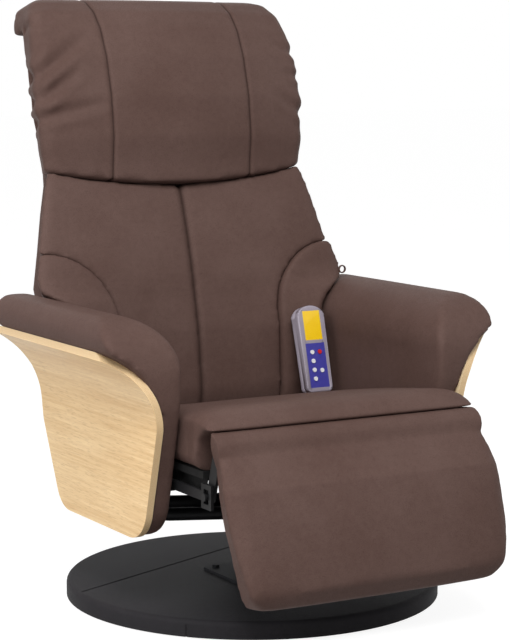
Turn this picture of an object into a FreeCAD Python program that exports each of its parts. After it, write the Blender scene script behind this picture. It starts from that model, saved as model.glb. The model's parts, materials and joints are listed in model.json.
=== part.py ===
"""Massage recliner with a swing-up footrest on a round swivel base.

Millimetres, +Z up, +Y towards the back of the chair. The origin is on the floor, on the swivel axis.
"""
import FreeCAD
import Part
import Sketcher
import math
import os

Vector = FreeCAD.Vector

SIZES = {
    # round base and swivel
    "base_radius": 325,
    "base_height": 32,
    "base_edge_round": 9,
    "cover_thickness": 2,
    "felt_thickness": 3,
    "felt_inset": 20,
    "plate_width": 130,
    "plate_thickness": 5,
    "post_radius": 27,
    "spindle_radius": 15,
    "spindle_depth": 80,
    "bearing_height": 6,
    "hub_radius": 78,
    "hub_thickness": 6,
    "bolt_radius": 4,
    "bolt_length": 24,
    "bolt_head_radius": 7,
    "bolt_head_height": 5,
    "bolt_inset": 18,
    # two bowed tubes that carry the seat
    "tube_radius": 11,
    "tube_floor": 146,
    "tube_flat": 70,
    "tube_rise": 14,
    "tube_bend": 34,
    "tube_spacing": 55,
    # seat frame
    "rail_bottom": 230,
    "rail_height": 38,
    "rail_thickness": 22,
    "frame_half_width": 235,
    "frame_front": 100,
    "frame_back": 165,
    "platform_front": 254,
    "platform_thickness": 12,
    "platform_lip": 1,
    "dust_cover_thickness": 1.5,
    "dust_cover_half_width": 200,
    # seat cushion
    "seat_half_width": 246,
    "seat_rise": 66,
    "seat_crest_front": 254,
    "seat_back_height": 308,
    "seat_crown": 15,
    "seat_edge_lift": 16,
    "seat_edge_width": 14,
    # arms of bent plywood with padded inner faces
    "arm_outer": 296,
    "ply_thickness": 12,
    "arm_bottom": 153,
    "arm_front": 216,
    "arm_back": 272,
    "flare_height": 335,
    "flare_radius": 132,
    "flare_angle": 65.4,
    "pad_thickness": 34,
    "pad_rise": 64,
    "pad_roll": 62,
    "pad_edge_round": 9,
    "bracket_spacing": 95,
    "bracket_width": 40,
    "bracket_thickness": 8,
    "bracket_drop": 44,
    "screw_radius": 2.5,
    "screw_length": 15,
    "screw_head_radius": 5,
    "screw_head_height": 3,
    # reclining back, set out from its hinge line and leaning by its tilt
    "hinge_back": 275,
    "hinge_height": 385,
    "back_tilt": 12.8,
    "frame_tube_radius": 12.5,
    "hinge_tube_half_length": 231,
    "upright_spacing": 190,
    "upright_length": 560,
    "hinge_plate_thickness": 6,
    "hinge_plate_width": 22,
    "hinge_plate_reach": 50,
    "hinge_boss_radius": 19,
    "strap_thickness": 2,
    "strap_width": 50,
    "strap_half_length": 198,
    "back_half_width": 315,
    "back_lift": 22,
    "back_height": 360,
    "back_thickness": 85,
    "bolster_thickness": 93,
    "bolster_inner": 165,
    "bolster_start": 147,
    "bolster_radius": 135,
    "head_half_width": 275,
    "head_top": 660,
    "head_thickness": 120,
    "head_lap": 50,
    "head_seam_spacing": 160,
    "smile_side": 354,
    "smile_centre": 306,
    "shell_bottom": 24,
    "shell_top": 604,
    "shell_floor": 12,
    "shell_rim": 14,
    "shell_inset": 1,
    "channel_width": 6,
    "channel_depth": 6,
    "tab_radius": 5.5,
    "tab_thickness": 2.4,
    "tab_height": 129,
    "tab_depth": 92,
    # recline linkage
    "link_drop": 23,
    "lever_half_width": 10,
    "link_thickness": 5,
    "link_half_width": 8,
    "pin_radius": 4,
    "pin_head": 3,
    "slot_half_height": 12,
    "slot_half_length": 8,
    # footrest, set out from its hinge line and leaning forward by its tilt
    "knee_front": 298,
    "knee_height": 314,
    "footrest_tilt": 21,
    "footrest_half_width": 252,
    "footrest_length": 256,
    "footrest_knuckle": 30,
    "footrest_back": 23,
    "footrest_crown": 11,
    "footrest_corner": 46,
    "footrest_draw": 20,
    "footrest_board_thickness": 10,
    "footrest_board_top": 46,
    "footrest_board_end": 18,
    "link_recess": 12,
    "link_recess_length": 100,
    "rod_radius": 5,
    "rod_half_length": 238,
    "hinge_arm_spacing": 120,
    "hinge_arm_thickness": 6,
    "hinge_arm_reach": 60,
    "hinge_arm_depth": 22,
    "crank_radius": 73.4,
    "crank_angle": 17.5,
    "crank_half_width": 11,
    # massage drive
    "motor_radius": 30,
    "motor_height": 22,
    "motor_spacing": 120,
    "seat_motor_front": 170,
    "lumbar_motor_height": 117,
    "head_motor_height": 378,
    "control_box_width": 120,
    "control_box_depth": 70,
    "control_box_height": 26,
    "inlet_radius": 6,
    "inlet_bore_radius": 3,
    "inlet_proud": 3,
    # handset with six keys
    "handset_width": 54,
    "handset_length": 160,
    "handset_thickness": 25,
    "handset_round": 9,
    "handset_side": 200,
    "handset_front": 106,
    "handset_tilt": 15,
    "screen_width": 36,
    "screen_height": 54,
    "screen_top": 10,
    "keypad_width": 40,
    "keypad_height": 82,
    "keypad_gap": 6,
    "inlay_depth": 2,
    "key_radius": 4,
    "key_proud": 1.5,
    "key_depth": 6,
    "key_travel": 1,
    "key_column": 8,
    # clearances
    "running_clearance": 0.05,
    "seat_gap": 0.3,
    "hole_clearance": 0.2,
    "cushion_gap": 2,
    "knee_gap": 8,
    "link_gap": 2,
    "overrun": 20,
}

# Side outline of an arm: depth from its front, height from its bottom, corner round.
ARM_OUTLINE_SHARES = [
    (0.0, 1.0, 0.27),
    (0.005, 0.63, 0.4),
    (0.115, 0.0, 0.2),
    (0.755, 0.0, 0.17),
    (0.9, 0.47, 0.2),
    (0.935, 0.77, 0.1),
    (1.0, 1.0, 0.02),
]
# Front outline of the back, from its lower end: height, half width, thickness, depth of its wings.
BACK_OUTLINE_SHARES = [
    (0.0, 0.759, 0.7, 0.68),
    (0.064, 0.768, 0.85, 0.88),
    (0.286, 0.771, 1.0, 1.2),
    (0.34, 0.784, 1.0, 1.2),
    (0.385, 0.825, 1.0, 1.18),
    (0.422, 0.886, 1.0, 1.16),
    (0.464, 0.98, 1.0, 1.0),
    (0.516, 0.99, 1.0, 0.92),
    (0.664, 0.935, 0.96, 0.84),
    (0.809, 0.885, 0.88, 0.8),
    (0.925, 0.838, 0.78, 0.74),
    (1.0, 0.832, 0.75, 0.72),
]
# Head cushion, from its lower end to its top: height, half width, bulge of its face, width behind.
HEAD_OUTLINE_SHARES = [
    (0.0, 0.957, 0.7, 0.84),
    (0.13, 0.965, 0.8, 0.84),
    (0.25, 0.98, 0.93, 0.84),
    (0.45, 1.0, 1.0, 0.84),
    (0.65, 0.99, 0.97, 0.86),
    (0.8, 0.965, 0.86, 0.92),
    (0.9, 0.93, 0.68, 0.97),
    (0.97, 0.88, 0.42, 1.0),
    (1.0, 0.8, 0.14, 1.0),
]
# Stations across the seat and the footrest: place over the half width, share of the crown lost there.
CROWN_SHARES = [(0.0, 0.0), (0.5, 0.05), (0.78, 0.16), (0.9, 0.4), (0.965, 0.72), (1.0, 1.0)]
# Section of the back: the front corner over the half width and the wings, the width behind, lobes and seam.
BACK_SECTION_SHARES = {"edge": 0.955, "edge_depth": 1.06, "rear": 0.86, "lobe": 0.52, "seam_depth": 0.93}
HEAD_SECTION_SHARES = {"edge": 0.94, "edge_depth": 0.76, "side_depth": 0.6}
# Roll along the top of an arm pad, over the size of the roll.
PAD_ROLL_SHARES = {
    "face_drop": 1.5,
    "inner_out": 0.28,
    "inner_drop": 0.5,
    "crest": 0.75,
    "outer_in": 0.06,
    "outer_drop": 0.16,
    "lip_drop": 0.62,
}
# Nose and slope of the seat between its crest, its front seam and its rear edge.
SEAT_SHARES = {"nose_y": 0.72, "nose_z": 0.45, "nose_draw": 0.1, "rear_drop": 0.4, "slope_rise": 0.35}
# Draw of the footrest's side view towards its edges, over its draw or its knuckle.
FOOTREST_SHARES = {"knuckle": 0.35, "back": 0.2, "end": 0.5, "front": 0.3, "sole": 0.45, "lower": 0.6}
BASE_EDGE_SHARES = (0.6, 0.25)
HALFWAY_SHARE = 0.5
DIAGONAL_SHARE = math.sqrt(HALFWAY_SHARE)
PIN_HEAD_SHARE = 1.6
STRAP_SHARES = [0.21, 0.44, 0.675, 0.9]
KEY_SHARES = {
    "power": (0.5, 0.2),
    "mode": (-0.5, 0.2),
    "head": (-0.5, 0.4),
    "back": (-0.5, 0.6),
    "seat": (-0.5, 0.8),
    "heat": (0.5, 0.62),
}


class Size:
    """A length of the sheet, or one worked out from several, as a value and as an expression."""

    def __init__(self, value, text):
        self.value = value
        self.text = text

    def joined(self, sign, other, value):
        return Size(value, f"({self.text} {sign} {written(other)})")

    def __add__(self, other):
        return self.joined("+", other, self.value + float(other))

    def __sub__(self, other):
        return self.joined("-", other, self.value - float(other))

    def __mul__(self, other):
        return self.joined("*", other, self.value * float(other))

    def __truediv__(self, other):
        return self.joined("/", other, self.value / float(other))

    def __neg__(self):
        return Size(-self.value, f"(0 - {self.text})")

    def __float__(self):
        return self.value


def written(number):
    return number.text if isinstance(number, Size) else repr(float(number))


doc = FreeCAD.newDocument("massage_recliner")
sheet = doc.addObject("Spreadsheet::Sheet", "Sizes")
for row, (alias, number) in enumerate(SIZES.items(), 1):
    sheet.set(f"A{row}", alias)
    sheet.set(f"B{row}", str(number))
    sheet.setAlias(f"B{row}", alias)
doc.recompute()


def size(alias):
    return Size(float(sheet.get(alias)), f"Sizes.{alias}")


ZERO = Size(0.0, "0")
SETTLING_STEPS = 6
PIECES = {}


def piece(name, thing):
    """Names a finished sub-part after the file that it is written to."""
    thing.Label = name
    PIECES[name] = thing
    return thing


def bind(thing, **settings):
    """Binds properties to sizes; a double underscore stands for a dot in a property's path."""
    for key, value in settings.items():
        thing.setExpression(key.replace("__", "."), written(value))


def place(thing, x=ZERO, y=ZERO, z=ZERO):
    bind(thing, Placement__Base__x=x, Placement__Base__y=y, Placement__Base__z=z)
    return thing


def box(x, y, z):
    """A block between two limits on each axis."""
    block = doc.addObject("Part::Box", "block")
    bind(block, Length=x[1] - x[0], Width=y[1] - y[0], Height=z[1] - z[0])
    return place(block, x[0], y[0], z[0])


AXIS_TURNS = {
    "X": FreeCAD.Rotation(Vector(0, 1, 0), 90),
    "Y": FreeCAD.Rotation(Vector(1, 0, 0), -90),
    "Z": FreeCAD.Rotation(),
}


def rod(axis, radius, length, x=ZERO, y=ZERO, z=ZERO):
    """A cylinder that starts at a point and runs along an axis."""
    bar = doc.addObject("Part::Cylinder", "rod")
    bar.Placement = FreeCAD.Placement(Vector(), AXIS_TURNS[axis])
    bind(bar, Radius=radius, Height=length)
    return place(bar, x, y, z)


def cut(base, *tools):
    for tool in tools:
        difference = doc.addObject("Part::Cut", "cut")
        difference.Base = base
        difference.Tool = tool
        base = difference
    return base


def fuse(*things):
    union = doc.addObject("Part::MultiFuse", "fuse")
    union.Shapes = list(things)
    return union


def group(*things):
    together = doc.addObject("Part::Compound", "group")
    together.Links = list(things)
    return together


def mirrored(thing):
    """The copy of a piece on the other side of the chair."""
    copy = doc.addObject("Part::Mirroring", "mirrored")
    copy.Source = thing
    copy.Normal = Vector(1, 0, 0)
    return copy


def both_sides(name, thing):
    piece(f"{name}_right", thing)
    piece(f"{name}_left", mirrored(thing))


def plate(plane, outline, thickness, start, circles=()):
    """A flat plate from a sketched outline with round holes, thick along the normal of its plane."""
    body = doc.addObject("PartDesign::Body", "plate")
    sketch = body.newObject("Sketcher::SketchObject", "outline")
    support = next(item for item in body.Origin.OriginFeatures if item.Role == f"{plane}_Plane")
    sketch.AttachmentSupport = [(support, "")]
    sketch.MapMode = "FlatFace"
    count = len(outline)
    corners = [Vector(float(u), float(v), 0) for u, v in outline]
    for index in range(count):
        sketch.addGeometry(Part.LineSegment(corners[index], corners[(index + 1) % count]), False)
    for index in range(count):
        sketch.addConstraint(Sketcher.Constraint("Coincident", index, 2, (index + 1) % count, 1))
    for index, (u, v) in enumerate(outline):
        pin_point(sketch, index, 1, u, v)
    for u, v, radius in circles:
        ring = Part.Circle(Vector(float(u), float(v), 0), Vector(0, 0, 1), float(radius))
        index = sketch.addGeometry(ring, False)
        pin_point(sketch, index, 3, u, v)
        constraint = sketch.addConstraint(Sketcher.Constraint("Radius", index, float(radius)))
        sketch.setExpression(f"Constraints[{constraint}]", written(radius))
    pad = body.newObject("PartDesign::Pad", "pad")
    pad.Profile = sketch
    bind(pad, Length=thickness)
    along = {"YZ": "x", "XZ": "y", "XY": "z"}[plane]
    bind(body, **{f"Placement__Base__{along}": start})
    return body


def pin_point(sketch, index, end, u, v):
    for kind, value in (("DistanceX", u), ("DistanceY", v)):
        constraint = sketch.addConstraint(Sketcher.Constraint(kind, -1, 1, index, end, float(value)))
        sketch.setExpression(f"Constraints[{constraint}]", written(value))


def fillet(thing, radius, wanted, kind="Part::Fillet"):
    """Rounds the edges that a test on the edge picks out, or bevels them."""
    doc.recompute()
    eased = doc.addObject(kind, "eased")
    eased.Base = thing
    edges = enumerate(thing.Shape.Edges, 1)
    eased.Edges = [(index, float(radius), float(radius)) for index, edge in edges if wanted(edge)]
    return eased


def solid(shape):
    """A piece whose form no primitive gives."""
    feature = doc.addObject("Part::Feature", "form")
    feature.Shape = shape
    return feature


def leg_edges(start, legs):
    """Edges from a start through legs: a point ends a line, and a pair is an arc by way of a point."""
    edges = []
    here = start
    for leg in legs:
        if isinstance(leg, tuple):
            edges.append(Part.Arc(here, leg[0], leg[1]).toShape())
            here = leg[1]
        else:
            edges.append(Part.LineSegment(here, leg).toShape())
            here = leg
    return edges


def closed_wire(start, *legs):
    return Part.Wire(leg_edges(start, legs))


def round_corners(points, radii, closed):
    """Legs along a polyline whose corners are tangent arcs of the given radii."""
    count = len(points)
    legs = []
    for index in range(count):
        if not closed and index in (0, count - 1):
            legs.append(points[index])
            continue
        corner = points[index]
        back = (points[index - 1] - corner).normalize()
        ahead = (points[(index + 1) % count] - corner).normalize()
        half = back.getAngle(ahead) / 2
        setback = radii[index] / math.tan(half)
        middle = (back + ahead).normalize() * (radii[index] / math.sin(half) - radii[index])
        legs.append(corner + back * setback)
        legs.append((corner + middle, corner + ahead * setback))
    return legs


def rounded_loop(points, radii):
    legs = round_corners(points, radii, closed=True)
    return closed_wire(legs[0], *legs[1:], legs[0])


def prism(loop, direction):
    return Part.Face(loop).extrude(direction)


def sewn_channel(shape, slab, shift):
    """Sinks a sewn line into a padded face, where the slab crosses it."""
    inner = shape.copy()
    inner.translate(shift)
    return shape.cut(slab.cut(inner))


def lean(thing, x, y, z, tilt):
    """Sets a piece that was built upright at its hinge line, leaning by its tilt."""
    holder = group(thing)
    holder.Placement = FreeCAD.Placement(Vector(), FreeCAD.Rotation(Vector(1, 0, 0), -float(tilt)))
    holder.setExpression("Placement.Rotation.Angle", written(-tilt))
    return place(holder, x, y, z)


def is_upright(edge):
    low, high = edge.BoundBox.ZMin, edge.BoundBox.ZMax
    return high - low > edge.BoundBox.DiagonalLength / 2


gap = size("seat_gap")
overrun = size("overrun")
running = size("running_clearance")
hole_clearance = size("hole_clearance")

# Round base: felt underneath, a board in a leather cover, and the fixed post of the swivel.

base_radius = size("base_radius")
base_top = size("base_height")
felt_top = size("felt_thickness")
cover = size("cover_thickness")
board_top = base_top - cover
edge_round = size("base_edge_round")

piece("base_felt", rod("Z", base_radius - size("felt_inset"), felt_top))


def base_disc(radius, top, corner):
    """A disc whose upper edge is eased by two bevels, the second on the edges of the first."""
    disc = rod("Z", radius, top - felt_top, z=felt_top)
    bevelled = fillet(disc, corner * BASE_EDGE_SHARES[0], is_upper_rim, "Part::Chamfer")
    return fillet(bevelled, corner * BASE_EDGE_SHARES[1], is_upper_rim, "Part::Chamfer")


def is_upper_rim(edge):
    """True on the rings near the top of the base, and not on the ring at its foot or the seam lines."""
    level = edge.BoundBox.ZMax - edge.BoundBox.ZMin < float(gap)
    return level and edge.BoundBox.ZMin > float(felt_top + gap)


plate_half = size("plate_width") / 2
plate_top = base_top + size("plate_thickness")
tube_floor = size("tube_floor")
hub_bottom = tube_floor - size("hub_thickness")
bearing_top = hub_bottom - gap
bearing_bottom = bearing_top - size("bearing_height")
bore = size("spindle_radius") + running
bolt_place = plate_half - size("bolt_inset")
bolt_shank = size("bolt_radius")


bolt_places = [(bolt_place * side, bolt_place * end) for side in (-1, 1) for end in (-1, 1)]


def base_bolts(radius):
    """Shanks of the four bolts that hold the plate to the board."""
    length = size("bolt_length")
    return [rod("Z", radius, length, x, y, plate_top - length) for x, y in bolt_places]


def bolt_head(x, y):
    head = doc.addObject("Part::Prism", "bolt_head")
    head.Polygon = 6
    bind(head, Circumradius=size("bolt_head_radius"), Height=size("bolt_head_height"))
    return place(head, x, y, plate_top)


bolt_holes = group(*base_bolts(bolt_shank + hole_clearance))
board = base_disc(base_radius - cover, board_top, edge_round - cover)
cover_block = base_disc(base_radius, base_top, edge_round)
piece("base_board", cut(board, bolt_holes))
piece("base_cover", cut(cover_block, board, bolt_holes))

swivel_plate = box((-plate_half, plate_half), (-plate_half, plate_half), (base_top, plate_top))
swivel_plate = fillet(swivel_plate, size("bolt_inset") / 2, is_upright)
post = rod("Z", size("post_radius"), bearing_bottom - base_top, z=base_top)
post_bore = rod("Z", bore, bearing_bottom - plate_top + overrun, z=plate_top)
piece("swivel_base_plate", cut(fuse(swivel_plate, post), post_bore, bolt_holes))
bearing = rod("Z", size("post_radius"), size("bearing_height"), z=bearing_bottom)
piece("swivel_bearing", cut(bearing, post_bore))
bolts = [fuse(shank, bolt_head(x, y)) for shank, (x, y) in zip(base_bolts(bolt_shank), bolt_places)]
piece("swivel_bolts", group(*bolts))

# Turning under-frame: hub on its spindle and two bowed tubes up to the seat frame.

hub_disc = rod("Z", size("hub_radius"), size("hub_thickness"), z=hub_bottom)
spindle = rod("Z", size("spindle_radius"), size("spindle_depth"), z=hub_bottom - size("spindle_depth"))
piece("swivel_hub", fuse(hub_disc, spindle))

rail_bottom = size("rail_bottom")
rail_top = rail_bottom + size("rail_height")
rail = size("rail_thickness")
frame_half = size("frame_half_width")
frame_front = -size("frame_front")
frame_back = size("frame_back")
tube_radius = size("tube_radius")


def cross_tube(y):
    """A tube that lies on the hub and bows up at both ends to the side rails."""
    axis_low = float(tube_floor + tube_radius)
    axis_end = axis_low + float(size("tube_rise"))
    end = float(frame_half - rail / 2) - float(rail - tube_radius * 2)
    flat = float(size("tube_flat"))
    bend = float(size("tube_bend"))
    top = Vector(-end, float(y), float(rail_bottom))
    knee = Vector(-end, float(y), axis_end)
    foot = Vector(-flat, float(y), axis_low)
    points = [top, knee, foot]
    points += [Vector(-point.x, point.y, point.z) for point in reversed(points)]
    radii = [0, bend, bend * 2, bend * 2, bend, 0]
    legs = round_corners(points, radii, closed=False)
    path = Part.Wire(leg_edges(legs[0], legs[1:]))
    ring = Part.Wire(Part.Circle(top, Vector(0, 0, 1), float(tube_radius)).toShape())
    return solid(path.makePipeShell([ring], True, False))


piece("cross_tube_front", cross_tube(-size("tube_spacing")))
piece("cross_tube_rear", cross_tube(size("tube_spacing")))

# Arm fixings: angle brackets under the side rails, with their screws.

arm_outer = size("arm_outer")
ply_inner = arm_outer - size("ply_thickness")
bracket = size("bracket_thickness")
bracket_bottom = rail_bottom - bracket
bracket_width = size("bracket_width")
rail_inner = frame_half - rail
flange_bottom = bracket_bottom - size("bracket_drop")
screw_up_x = frame_half - rail / 2
screw_side_z = bracket_bottom - size("bracket_drop") / 2
screw_length = size("screw_length")
screw_head = size("screw_head_height")
bracket_places = [-size("bracket_spacing"), size("bracket_spacing")]


def screw_shanks(radius):
    """Screws of the arm brackets on one side: up into the rail and out into the plywood."""
    shanks = []
    for y in bracket_places:
        shanks.append(rod("Z", radius, screw_length, screw_up_x, y, bracket_bottom))
        shanks.append(rod("X", radius, screw_length, ply_inner - bracket, y, screw_side_z))
    return shanks


def screw_heads():
    heads = []
    radius = size("screw_head_radius")
    for y in bracket_places:
        heads.append(rod("Z", radius, screw_head, screw_up_x, y, bracket_bottom - screw_head))
        heads.append(rod("X", radius, screw_head, ply_inner - bracket - screw_head, y, screw_side_z))
    return heads


def arm_bracket(y):
    outline = [
        (rail_inner, rail_bottom),
        (rail_inner, bracket_bottom),
        (ply_inner - bracket, bracket_bottom),
        (ply_inner - bracket, flange_bottom),
        (ply_inner, flange_bottom),
        (ply_inner, rail_bottom),
    ]
    return plate("XZ", outline, bracket_width, y + bracket_width / 2)


screw_holes = group(*screw_shanks(size("screw_radius") + hole_clearance))
right_brackets = group(*[cut(arm_bracket(y), screw_holes) for y in bracket_places])
piece("arm_brackets", group(right_brackets, mirrored(right_brackets)))
screws = [fuse(shank, head) for shank, head in zip(screw_shanks(size("screw_radius")), screw_heads())]
right_screws = group(*screws)
piece("arm_screws", group(right_screws, mirrored(right_screws)))

# Seat frame of four rails, the platform on it and the dust cover below.

side_rail = box((rail_inner, frame_half), (frame_front, frame_back), (rail_bottom, rail_top))
both_sides("seat_rail", cut(side_rail, screw_holes))
front_rail = box((-rail_inner, rail_inner), (frame_front, frame_front + rail), (rail_bottom, rail_top))
piece("seat_front_rail", front_rail)
rear_half = rail_inner - size("hinge_plate_thickness")
rear_rail = box((-rear_half, rear_half), (frame_back - rail, frame_back), (rail_bottom, rail_top))
inlet_z = rail_top - size("control_box_height") / 2
inlet_length = rail + size("inlet_proud")
inlet_hole = rod("Y", size("inlet_radius") + hole_clearance, rail, ZERO, frame_back - rail, inlet_z)
piece("seat_rear_rail", cut(rear_rail, inlet_hole))

platform_top = rail_top + size("platform_thickness")
platform_half = frame_half + size("platform_lip")
platform_front = -size("platform_front")
platform = box((-platform_half, platform_half), (platform_front, frame_back), (rail_top, platform_top))
piece("seat_platform", platform)

dust_half = size("dust_cover_half_width")
dust_bottom = rail_bottom - size("dust_cover_thickness")
piece("dust_cover", box((-dust_half, dust_half), (frame_front, frame_back), (dust_bottom, rail_bottom)))

# Massage motors are flat drums; the control box hangs under the platform inside the rails.

motor_radius = size("motor_radius")
motor_height = size("motor_height")
motor_side = size("motor_spacing")


def motor_pair(axis, y, z, spare):
    radius = motor_radius + spare
    return [rod(axis, radius, motor_height + spare, motor_side * side, y, z) for side in (-1, 1)]


seat_motor_y = -size("seat_motor_front")
piece("seat_motors", group(*motor_pair("Z", seat_motor_y, platform_top, ZERO)))
box_half = size("control_box_width") / 2
box_rear = frame_back - rail
box_front = box_rear - size("control_box_depth")
box_bottom = rail_top - size("control_box_height")
piece("control_box", box((-box_half, box_half), (box_front, box_rear), (box_bottom, rail_top)))
inlet = rod("Y", size("inlet_radius"), inlet_length, ZERO, box_rear, inlet_z)
bore_start = box_rear + size("inlet_proud")
inlet_bore = rod("Y", size("inlet_bore_radius"), inlet_length, ZERO, bore_start, inlet_z)
piece("power_inlet", cut(inlet, inlet_bore))

# Arms: bent plywood shells that flare outwards, lined with a rolled pad.

arm_bottom = size("arm_bottom")
arm_front = -size("arm_front")
arm_back = size("arm_back")
pad_inner = ply_inner - size("pad_thickness")
flare_height = float(size("flare_height"))
flare_radius = float(size("flare_radius"))
flare_angle = math.radians(float(size("flare_angle")))
pad_crest = flare_height + flare_radius * math.sin(flare_angle) + float(size("pad_rise"))


def arm_side(top, least_round):
    """Side outline of an arm as a block across it."""
    depth = float(arm_back - arm_front)
    height = top - float(arm_bottom)
    reach = float(size("arm_outer")) + flare_radius
    points = []
    radii = []
    for depth_share, height_share, round_share in ARM_OUTLINE_SHARES:
        level = float(arm_bottom) + height * height_share
        points.append(Vector(0, float(arm_front) + depth * depth_share, level))
        radii.append(max(height * round_share, least_round))
    return prism(rounded_loop(points, radii), Vector(reach, 0, 0))


def flare_point(radius, share):
    """A point on the flare, which bends outwards about a line outside the arm."""
    angle = flare_angle * share
    centre = float(arm_outer) + flare_radius
    return Vector(centre - radius * math.cos(angle), 0, flare_height + radius * math.sin(angle))


def along_arm(loop):
    loop.translate(Vector(0, float(arm_front - overrun), 0))
    return prism(loop, Vector(0, float(arm_back - arm_front + overrun * 2), 0))


def arm_panel():
    outer = flare_radius
    inner = flare_radius + float(size("ply_thickness"))
    low = float(arm_bottom - overrun)
    loop = closed_wire(
        Vector(float(arm_outer), 0, low),
        flare_point(outer, 0),
        (flare_point(outer, HALFWAY_SHARE), flare_point(outer, 1)),
        flare_point(inner, 1),
        (flare_point(inner, HALFWAY_SHARE), flare_point(inner, 0)),
        Vector(float(ply_inner), 0, low),
        Vector(float(arm_outer), 0, low),
    )
    return along_arm(loop).common(arm_side(flare_point(inner, 1).z + float(gap), 0.0))


def arm_pad():
    """The pad lines the plywood, thickens as it rises and ends in a roll over the top edge."""
    shares = PAD_ROLL_SHARES
    inner = flare_radius + float(size("ply_thickness")) + float(gap)
    low = float(arm_bottom - overrun)
    tip = flare_point(inner, 1)
    crest = pad_crest
    roll = float(size("pad_roll"))
    face = float(pad_inner)
    face_top = crest - roll * shares["face_drop"]
    top = Vector(tip.x - roll * shares["crest"], 0, crest)
    lip = Vector(flare_point(flare_radius, 1).x, 0, crest - roll * shares["lip_drop"])
    lip_way = Vector(tip.x - roll * shares["outer_in"], 0, crest - roll * shares["outer_drop"])
    face_way = Vector(face + roll * shares["inner_out"], 0, crest - roll * shares["inner_drop"])
    back_low = Vector(float(ply_inner - gap), 0, low)
    loop = closed_wire(
        back_low,
        flare_point(inner, 0),
        (flare_point(inner, HALFWAY_SHARE), tip),
        lip,
        (lip_way, top),
        (face_way, Vector(face, 0, face_top)),
        Vector(face, 0, low),
        back_low,
    )
    edge_round = float(size("pad_edge_round"))
    block = along_arm(loop).common(arm_side(crest, edge_round * 2))
    return block.makeFillet(edge_round, [edge for edge in block.Edges if is_pad_edge(edge)])


STRAIGHT_SHARE = 0.999


def is_pad_edge(edge):
    """True on the outline of the pad's padded face, which stands clear of the plywood."""
    middle = edge.valueAt((edge.FirstParameter + edge.LastParameter) / 2)
    inner = flare_radius + float(size("ply_thickness")) + float(size("pad_edge_round"))
    centre = Vector(float(arm_outer) + flare_radius, middle.y, flare_height)
    straight = max(edge.BoundBox.XLength, edge.BoundBox.YLength) > edge.Length * STRAIGHT_SHARE
    underside = middle.z < float(arm_bottom + gap) and edge.BoundBox.YLength > edge.BoundBox.XLength
    low = middle.z < flare_height and middle.x > float(ply_inner - gap * 2)
    high = middle.z >= flare_height and middle.distanceToPoint(centre) < inner
    return (underside or not straight) and not (low or high)


both_sides("arm_panel", cut(solid(arm_panel()), screw_holes))
notch_gap = size("cushion_gap")
notches = []
for y in bracket_places:
    half = bracket_width / 2 + notch_gap
    levels = (flange_bottom - notch_gap, rail_bottom + notch_gap)
    notches.append(box((pad_inner - overrun, ply_inner), (y - half, y + half), levels))
both_sides("arm_pad", cut(solid(arm_pad()), group(*notches)))

# Seat cushion: a wedge with a crowned top, rolled at the front over the footrest's knuckle.

knee_y = -size("knee_front")
knee_z = size("knee_height")
knuckle = size("footrest_knuckle")
hollow_radius = float(knuckle + size("knee_gap"))


def knee_point(radius, angle):
    """A point about the footrest's hinge line, at an angle above the rearward direction."""
    turn = math.radians(angle)
    return Vector(0, float(knee_y) + radius * math.cos(turn), float(knee_z) + radius * math.sin(turn))


HOLLOW_ANGLES = {"front": 115, "middle": 60, "rear": 8}


def seat_section(x, lost, lift):
    """One side view of the seat: flat below, sloping on top and hollowed over the knuckle."""
    drop = float(size("seat_crown")) * lost
    bottom = float(platform_top) + lift
    crest = Vector(0, -float(size("seat_crest_front")), float(knee_z + size("seat_rise")) - drop)
    shares = SEAT_SHARES
    rise = float(size("seat_crown")) * shares["slope_rise"]
    rear_top = Vector(0, float(frame_back), float(size("seat_back_height")) - drop * shares["rear_drop"])
    rear_low = Vector(0, float(frame_back), bottom)
    seam = knee_point(hollow_radius, HOLLOW_ANGLES["front"])
    heel = knee_point(hollow_radius, HOLLOW_ANGLES["rear"])
    nose_y = crest.y + (seam.y - crest.y) * shares["nose_y"] - drop * shares["nose_draw"]
    nose = Vector(0, nose_y, crest.z + (seam.z - crest.z) * shares["nose_z"])
    slope = (crest + rear_top) / 2 + Vector(0, 0, rise)
    toe = Vector(0, float(platform_front), bottom)
    loop = closed_wire(
        rear_low,
        rear_top,
        (slope, crest),
        (nose, seam),
        (knee_point(hollow_radius, HOLLOW_ANGLES["middle"]), heel),
        toe,
        rear_low,
    )
    loop.translate(Vector(x, 0, 0))
    return loop


def across(half, section):
    """A padded form through side views from one side to the other, lower towards its edges."""
    stations = [(-place_share, lost) for place_share, lost in reversed(CROWN_SHARES[1:])] + CROWN_SHARES
    return Part.makeLoft([section(half * at, lost) for at, lost in stations], True, True)


def seat_cushion():
    half = float(size("seat_half_width"))
    edge = half - float(size("seat_edge_width"))

    def section(x, lost):
        outside = max(0.0, (abs(x) - edge) / (half - edge))
        return seat_section(x, lost, float(size("seat_edge_lift")) * outside)

    return across(half, section)


seat_pockets = group(*motor_pair("Z", seat_motor_y, platform_top - gap, gap * 2))
piece("seat_cushion", cut(solid(seat_cushion()), seat_pockets))

# Back hinge: plates on the seat rails, and the tube that turns in them.

hinge_y = size("hinge_back")
hinge_z = size("hinge_height")
tilt = size("back_tilt")
frame_tube = size("frame_tube_radius")
hinge_plate = size("hinge_plate_thickness")
plate_width = size("hinge_plate_width")


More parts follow.
